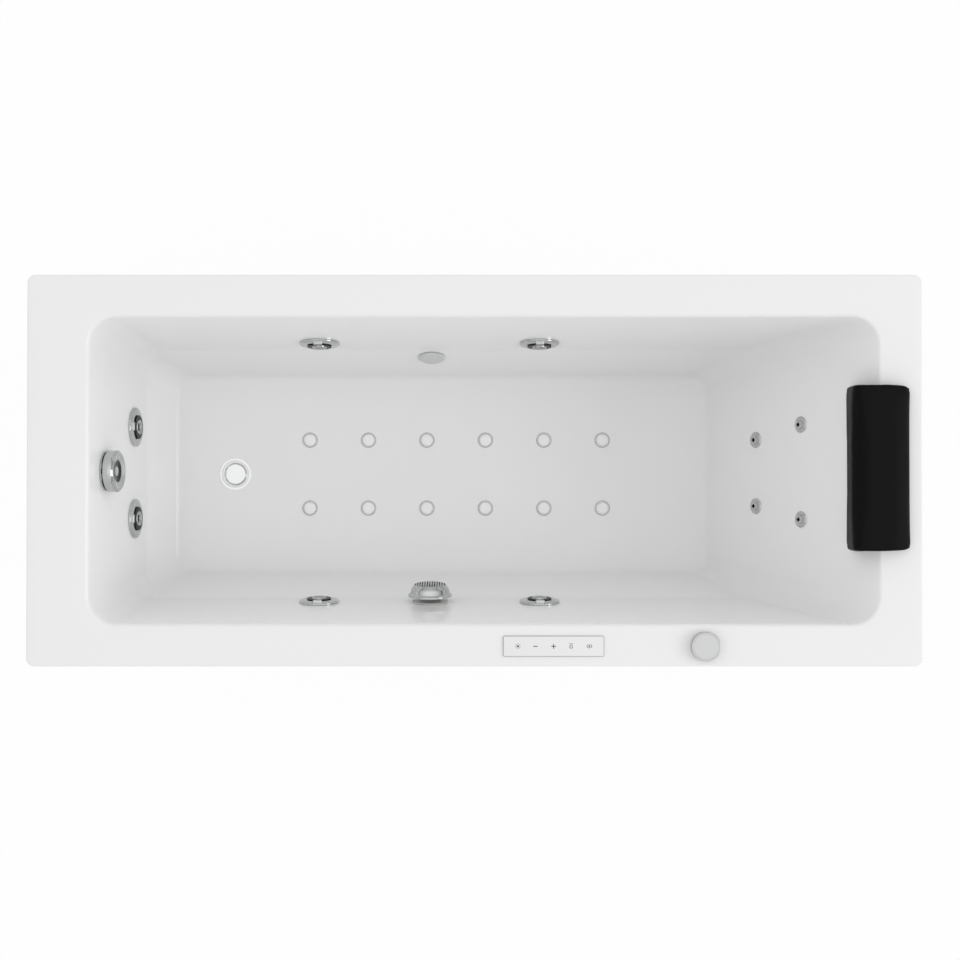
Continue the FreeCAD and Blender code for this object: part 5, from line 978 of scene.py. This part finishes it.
panel = {"length": 180.0, "width": 37.0, "thick": 3.0, "corner": 3.0, "shadeLayer": 1.0, "inset": 0.9,
         "stem": 9.0, "stemReach": 18.0, "print": 0.05, "stroke": 1.5,
         "symbols": [-63.5, -32.2, 0.0, 31.1, 63.7]}        # along the panel from its middle


def panelSymbols(low, high):
    # five generic signs: a sun, a minus, a plus, a bar over a ring, and an oval with a dot
    stroke, thick, level = panel["stroke"], high - low, (low + high) / 2
    sun, minus, plus, bar, oval = panel["symbols"]
    dot, ray = rod(1.9, low, high, 32), block((2.0, 0.8, thick), (4.2, 0, level))
    shapes = [shifted(shape, (sun * mm, 0, 0)) for shape in [dot] + aroundZ(ray, 8)]
    strokes = [(7.5, stroke, minus, 0, 0), (8.5, stroke, plus, 0, 0), (stroke, 8.5, plus, 0, 0.004),
               (7.0, 1.1, bar, 4.4, 0)]
    shapes += [block((length, width, thick), (x, y, level + lift)) for length, width, x, y, lift in strokes]
    for x, radius, stretch, y in ((bar, 3.0, 1.0, -1.0), (oval, 5.0, 0.66, 0.0)):
        points, faces = sleeve(radius - 1.1, radius, low, high, 40)
        shapes.append((points * np.array((1.0, stretch, 1.0)) + np.array((x, y, 0)) * mm, faces))
    shapes.append((dot[0] * np.array((0.75, 0.75, 1.0)) + np.array((oval * mm, 0, 0)), dot[1]))
    return joined(shapes)


def makePanel():
    # the touch panel: a dark layer whose rim is the plate's painted shadow outline, a white plate with
    # rounded edges, and its printed signs
    middle = boxMiddle("touch_panel")
    place = (middle.x, middle.y, tub["rim"] * mm)
    length, width, thick, inset = panel["length"], panel["width"], panel["shadeLayer"], panel["inset"]
    # a dark layer a little larger than the plate: its edge is a painted shadow outline
    shadeLayer = block((length, width, thick), (0, 0, thick / 2), panel["corner"])
    newPiece("panelShadowRim", shifted(shadeLayer, place), "tub", "panelShadowEdge")
    top, bottom = panel["thick"] - panel["print"], thick * 0.8
    plate = block((length - 2 * inset, width - 2 * inset, top - bottom), (0, 0, (top + bottom) / 2),
                  panel["corner"] - inset, 0.7, 6)
    shape = joined([plate, rod(panel["stem"], -panel["stemReach"], 0.9)])
    newPiece("panelPlate", shifted(shape, place), "tub", "panelWhite", ["touch_panel"])
    signs = panelSymbols(top - 0.01, panel["thick"])
    newPiece("panelSigns", shifted(signs, place), "tub", "printGrey", smooth=30.0)
    print("panel signs:", len(panel["symbols"]))


makePanel()

knob = {"radius": 26.0, "base": 2.3, "top": 14.3, "spindle": 5.0, "reach": 18.0}


def makeAirKnob():
    # the air knob: a low round knob turned round Z, with a soft edge, a fine groove and a slightly dished top
    top, radius, spindle, base, reach = (knob[key] for key in ("top", "radius", "spindle", "base", "reach"))
    profile = softened([
        (0.0, -reach), (spindle, -reach), (spindle, base + 1.0), (radius - 2.0, base + 1.0),
        (radius - 2.0, base), (radius, base), (radius, top), (radius - 2.6, top), (radius - 2.9, top - 0.35),
        (radius - 3.3, top - 0.35), (radius - 3.6, top - 0.05), (0.0, top - 0.35),
    ], [0, 0.4, 0.4, 0.4, 0.3, 0.4, 1.3, 0.15, 0.1, 0.1, 0.15, 0], 5)
    shape = atSeat(turned(profile, 128), jointSeat("air_knob_turn", (0, 1, 0)))
    newPiece("airKnob", shape, "air_knob", "turnedSatin", ["air_knob"])
    print("air knob done")


makeAirKnob()

rest = {
    "gap": 0.9, "shrink": 2.0, "endRound": 7.0, "backCorner": 9.0, "bow": 0.012, "sections": 90, "lift": 2.3,
    "drop": 58.0, "seam": 1.1, "seamWidth": 2.2, "seamInset": 14.0,        # mm
    "voxel": 0.0042, "cap": 0.0032, "over": 0.0005, "pressure": 4.0, "stiffness": 30.0, "frames": 20,
}
backLean = (tub["head"][0][1] - tub["head"][1][1]) / tub["depth"]


def restSection(front, back, crown):
    # the headrest's section over the rim as (x, z) in mm: along the strip, over the mouth's edge, down the
    # backrest to a blunt nose, up the front and over a crowned top
    opening, base = tub["head"][0][1], tub["rim"] + rest["lift"]
    nose, wall = tub["rim"] - rest["drop"], opening - rest["gap"]
    corners = [
        (back - 20, base), (opening + 9, base), (wall, base), (wall - backLean * 9 - 1, tub["rim"] - 9),
        (wall - backLean * rest["drop"], nose), (front + 4, nose - 1), (front, nose + 9), (front, base + 6),
        (front + 9, crown - 5.5), (front + 32, crown - 1.0), (back - 38, crown), (back - 9, crown - 7.0),
        (back, base + 8), (back, base), (back - 20, base),
    ]
    return softened(corners, [0, 6, 5, 12, 4, 4, 8, 20, 26, 60, 60, 14, 7, 4, 0], 6)


def quarterDraw(y, half, radius):
    # how far a quarter circle has drawn in, as a share of its radius, at a distance from the middle
    into = np.clip((np.abs(y) - (half - radius)) / radius, 0, 1)
    return 1 - np.sqrt(1 - into ** 2)


def restShape(shrink):
    # the section swept along Y: near each end it draws in along a quarter circle, its back corners are
    # rounded in plan and its ends are slightly bowed; the rings lie closer towards the ends
    (front, right, _), (back, left, top) = np.array(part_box("headrest")) / mm
    section = restSection(front, back, top)[:-1]
    tangent = np.roll(section, -1, axis=0) - np.roll(section, 1, axis=0)
    inward = np.stack([-tangent[:, 1], tangent[:, 0]], axis=1) / np.linalg.norm(tangent, axis=1)[:, None]
    inward *= np.sign(np.einsum("ij,ij->i", section.mean(axis=0) - section, inward)).mean()
    half, middle = (left - right) / 2 - shrink, (left + right) / 2
    share = np.linspace(-1, 1, rest["sections"])
    y = half * np.sign(share) * (1 - (1 - np.abs(share)) ** 1.6)
    draw = rest["endRound"] * 0.8 * quarterDraw(y, half, rest["endRound"]) + shrink
    pull = rest["backCorner"] * quarterDraw(y, half, rest["backCorner"])
    rings = section[None] + inward[None] * draw[:, None, None]
    reach = (rings[..., 0] - front) / (back - front)
    x = rings[..., 0] - pull[:, None] * np.clip(reach, 0, 1) ** 2
    bow = 1 - rest["bow"] * (2 * reach - 1) ** 2
    points = np.stack([x, middle + y[:, None] * bow, rings[..., 1]], axis=-1)
    count, last = len(section), (len(points) - 1) * len(section)
    caps = [list(range(count)), list(range(last, last + count))[::-1]]
    return points.reshape(-1, 3) * mm, gridFaces(len(points), count) + caps


def settleRest(points):
    # keeps the pad off the strip and the backrest: heights over the rim and distances from the wall are
    # clamped, and so is all of it to a little past its node's box
    base, opening = (tub["rim"] + rest["lift"] + 0.05) * mm, tub["head"][0][1] * mm
    wall = opening - rest["gap"] * mm - backLean * np.maximum(tub["rim"] * mm - points[:, 2], 0)
    over = points[:, 0] > opening
    points[:, 2] = np.where(over, np.maximum(points[:, 2], base), points[:, 2])
    below = ~over & (points[:, 2] < base)
    points[:, 0] = np.where(below, np.minimum(points[:, 0], wall), points[:, 0])
    low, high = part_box("headrest")
    return np.clip(points, np.array(low) - rest["over"], np.array(high) + rest["over"])


def pressSeam(points):
    # a welded seam a little way in from each end: a narrow groove, depth times exp(-(distance / width)^2)
    low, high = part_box("headrest")
    away = points - np.array(low + high) / 2
    ends = np.abs(away[:, 1]) - ((high.y - low.y) / 2 - rest["seamInset"] * mm)
    groove = rest["seam"] * mm * np.exp(-(ends / (rest["seamWidth"] * mm)) ** 2)
    away[:, 1] = 0
    length = np.maximum(np.linalg.norm(away, axis=1), 1e-9)
    return points - away / length[:, None] * groove[:, None]


def swollen(pad):
    # the pad's points after a short cloth run with air inside, each moved by no more than the cap
    start = vectorsOf(pad.data.vertices, "co")
    cloth = pad.modifiers.new("cloth", "CLOTH").settings
    cloth.use_pressure = True
    cloth.uniform_pressure_force = rest["pressure"]
    cloth.effector_weights.gravity = 0.0
    cloth.tension_stiffness = cloth.compression_stiffness = rest["stiffness"]
    for step in range(1, rest["frames"] + 1):
        scene.frame_set(step)
    moved = vectorsOf(workedIn(pad).vertices, "co") - start
    scene.frame_set(1)
    length = np.maximum(np.linalg.norm(moved, axis=1), 1e-9)
    return start + moved * (np.minimum(length, rest["cap"]) / length)[:, None]


def makeHeadrest():
    # a slightly small pad is evened out, blown up as cloth, settled on its seat, softened and seamed
    pad = newPiece("headrestPad", restShape(rest["shrink"]), "tub", "skinFoam", ["headrest"], 80.0)
    even = pad.modifiers.new("even", "REMESH")
    even.mode, even.voxel_size = "VOXEL", rest["voxel"]
    workedIn(pad)
    points = swollen(pad)
    pad.data.vertices.foreach_set("co", settleRest(points).reshape(-1))
    soften = pad.modifiers.new("soften", "SMOOTH")
    soften.factor, soften.iterations = 0.5, 6
    mesh = workedIn(pad)
    points = settleRest(pressSeam(vectorsOf(mesh.vertices, "co")))
    mesh.vertices.foreach_set("co", points.reshape(-1))
    mesh.materials.clear()
    mesh.materials.append(finish["skinFoam"])
    mesh.shade_smooth()
    finer = pad.modifiers.new("finer", "SUBSURF")
    finer.levels = finer.render_levels = 1
    print("headrest vertices:", len(points))


makeHeadrest()

works = {
    "chipBoard": ["base_board"],
    "galvanised": ["frame_rails", "frame_posts", "equipment_tray"],
    "fastener": ["frame_screws", "foot_nuts"],
    "footSteel": [f"foot_{number}" for number in range(1, 6)],
    "pipeWhite": ["wall_fittings", "jet_bodies", "air_jet_bodies", "suction_body", "water_pipes",
                  "overflow_body", "waste_trap", "air_valve", "rim_nuts"],
    "rubber": ["fitting_seals", "bowden_cable"],
    "moulding": ["micro_jet_bodies", "pump_wet_end"],
    "tubeGrey": ["air_manifold", "light_housing"],
    "chrome": ["overflow_flange"],
    "motorBlue": ["pump_motor"],
    "blowerShell": ["blower", "control_box"],
    "stripBlackAndHoleShade": ["headrest_base"],
}


def smoothCopy(node, look):
    # the node's own shape with its loose triangles merged, smooth up to an angle; a foot rides on its body
    words = node.split("_")
    mesh = frame["nodes"][node].data.copy()
    mergeDoubles(mesh, 2e-6, False)
    smoothTo(mesh, 32.0)
    piece = newObject(words[0] + "".join(word.capitalize() for word in words[1:]), mesh)
    settle(piece, node if look == "footSteel" else "tub", look, [node])


for look, nodes in works.items():
    for node in nodes:
        smoothCopy(node, look)
print("smooth copies:", sum(len(nodes) for nodes in works.values()))

studio = {
    "floorHalf": 14.0, "floorGrey": 0.80, "floorRough": 0.9, "whiteShare": 0.97,
    "lensMm": 60.98, "cameraHeight": 2.9, "aim": (0.0094, -0.0174), "tilt": 0.04,
    "sky": (1.07, 0.74, (0.1, 0.95)), "mirroredSky": (0.4, 1.15, (0.3, 0.92)),     # low, high, heights
    "lampPlace": (6.0, -0.9, 3.9), "lampAim": (-0.3, 0.0, 0.3), "lampSize": 3.0, "watts": 84,
}


def makeFloor():
    # a large plain floor that takes the shadow, while camera and mirror rays see it mostly white
    half, grey = studio["floorHalf"], studio["floorGrey"]
    corners = [(-half, -half, 0), (half, -half, 0), (half, half, 0), (-half, half, 0)]
    mesh = newMesh("studioFloor", corners, [(0, 1, 2, 3)])
    material = bpy.data.materials.new("studioFloor")
    material.use_nodes = True
    tree = material.node_tree
    shader = tree.nodes["Principled BSDF"]
    shader.inputs["Base Color"].default_value = (grey, grey, grey, 1)
    shader.inputs["Roughness"].default_value = studio["floorRough"]
    rays = addNode(tree, "ShaderNodeLightPath").outputs
    seen = mathNode(tree, "MAXIMUM", rays["Is Camera Ray"], rays["Is Glossy Ray"])
    seen = mathNode(tree, "MAXIMUM", seen, rays["Is Transmission Ray"])
    share = mathNode(tree, "MULTIPLY", seen, studio["whiteShare"])
    glow = addNode(tree, "ShaderNodeEmission").outputs[0]
    blend = addNode(tree, "ShaderNodeMixShader", {0: share, 1: shader.outputs[0], 2: glow})
    tree.links.new(blend.outputs[0], tree.nodes["Material Output"].inputs["Surface"])
    mesh.materials.append(material)
    newObject("studioFloor", mesh)


def makeWorld():
    # a pale sky that the camera sees as white: its light is stronger near the horizon, while mirror rays see
    # it brighter overhead
    world = bpy.data.worlds.new("studioSky")
    scene.world = world
    world.use_nodes = True
    tree = world.node_tree
    rays = addNode(tree, "ShaderNodeLightPath").outputs
    direction = addNode(tree, "ShaderNodeTexCoord").outputs["Generated"]
    height = addNode(tree, "ShaderNodeSeparateXYZ", {0: direction}).outputs["Z"]
    lit, mirrored = (spread(tree, height, *studio[name]) for name in ("sky", "mirroredSky"))
    strength = addNode(tree, "ShaderNodeMix", {0: rays["Is Glossy Ray"], 2: lit, 3: mirrored}).outputs[0]
    white = (1, 1, 1, 1)
    light = addNode(tree, "ShaderNodeBackground", {"Color": white, "Strength": strength}).outputs[0]
    plain = addNode(tree, "ShaderNodeBackground", {"Color": white}).outputs[0]
    blend = addNode(tree, "ShaderNodeMixShader", {0: rays["Is Camera Ray"], 1: light, 2: plain})
    tree.links.new(blend.outputs[0], tree.nodes["World Output"].inputs["Surface"])


def makeLamp():
    light = bpy.data.lights.new("keyLamp", "AREA")
    light.size, light.energy = studio["lampSize"], studio["watts"]
    holder = newObject("keyLamp", light)
    place = Vector(studio["lampPlace"])
    holder.location = place
    holder.rotation_euler = (Vector(studio["lampAim"]) - place).to_track_quat("-Z", "Y").to_euler()


def makeCamera():
    # straight above, at the height that gives the photograph's perspective, a little off the middle
    lens = bpy.data.cameras.new("photoCamera")
    lens.lens, lens.sensor_width = studio["lensMm"], 36.0
    camera = newObject("photoCamera", lens)
    (x, y), tilt, height = studio["aim"], studio["tilt"], studio["cameraHeight"]
    camera.location = (x, y - tilt, tub["rim"] * mm + height)
    camera.rotation_euler = (math.atan2(tilt, height), 0, 0)
    scene.camera = camera


makeCamera()
makeFloor()
makeWorld()
makeLamp()
print("studio done")
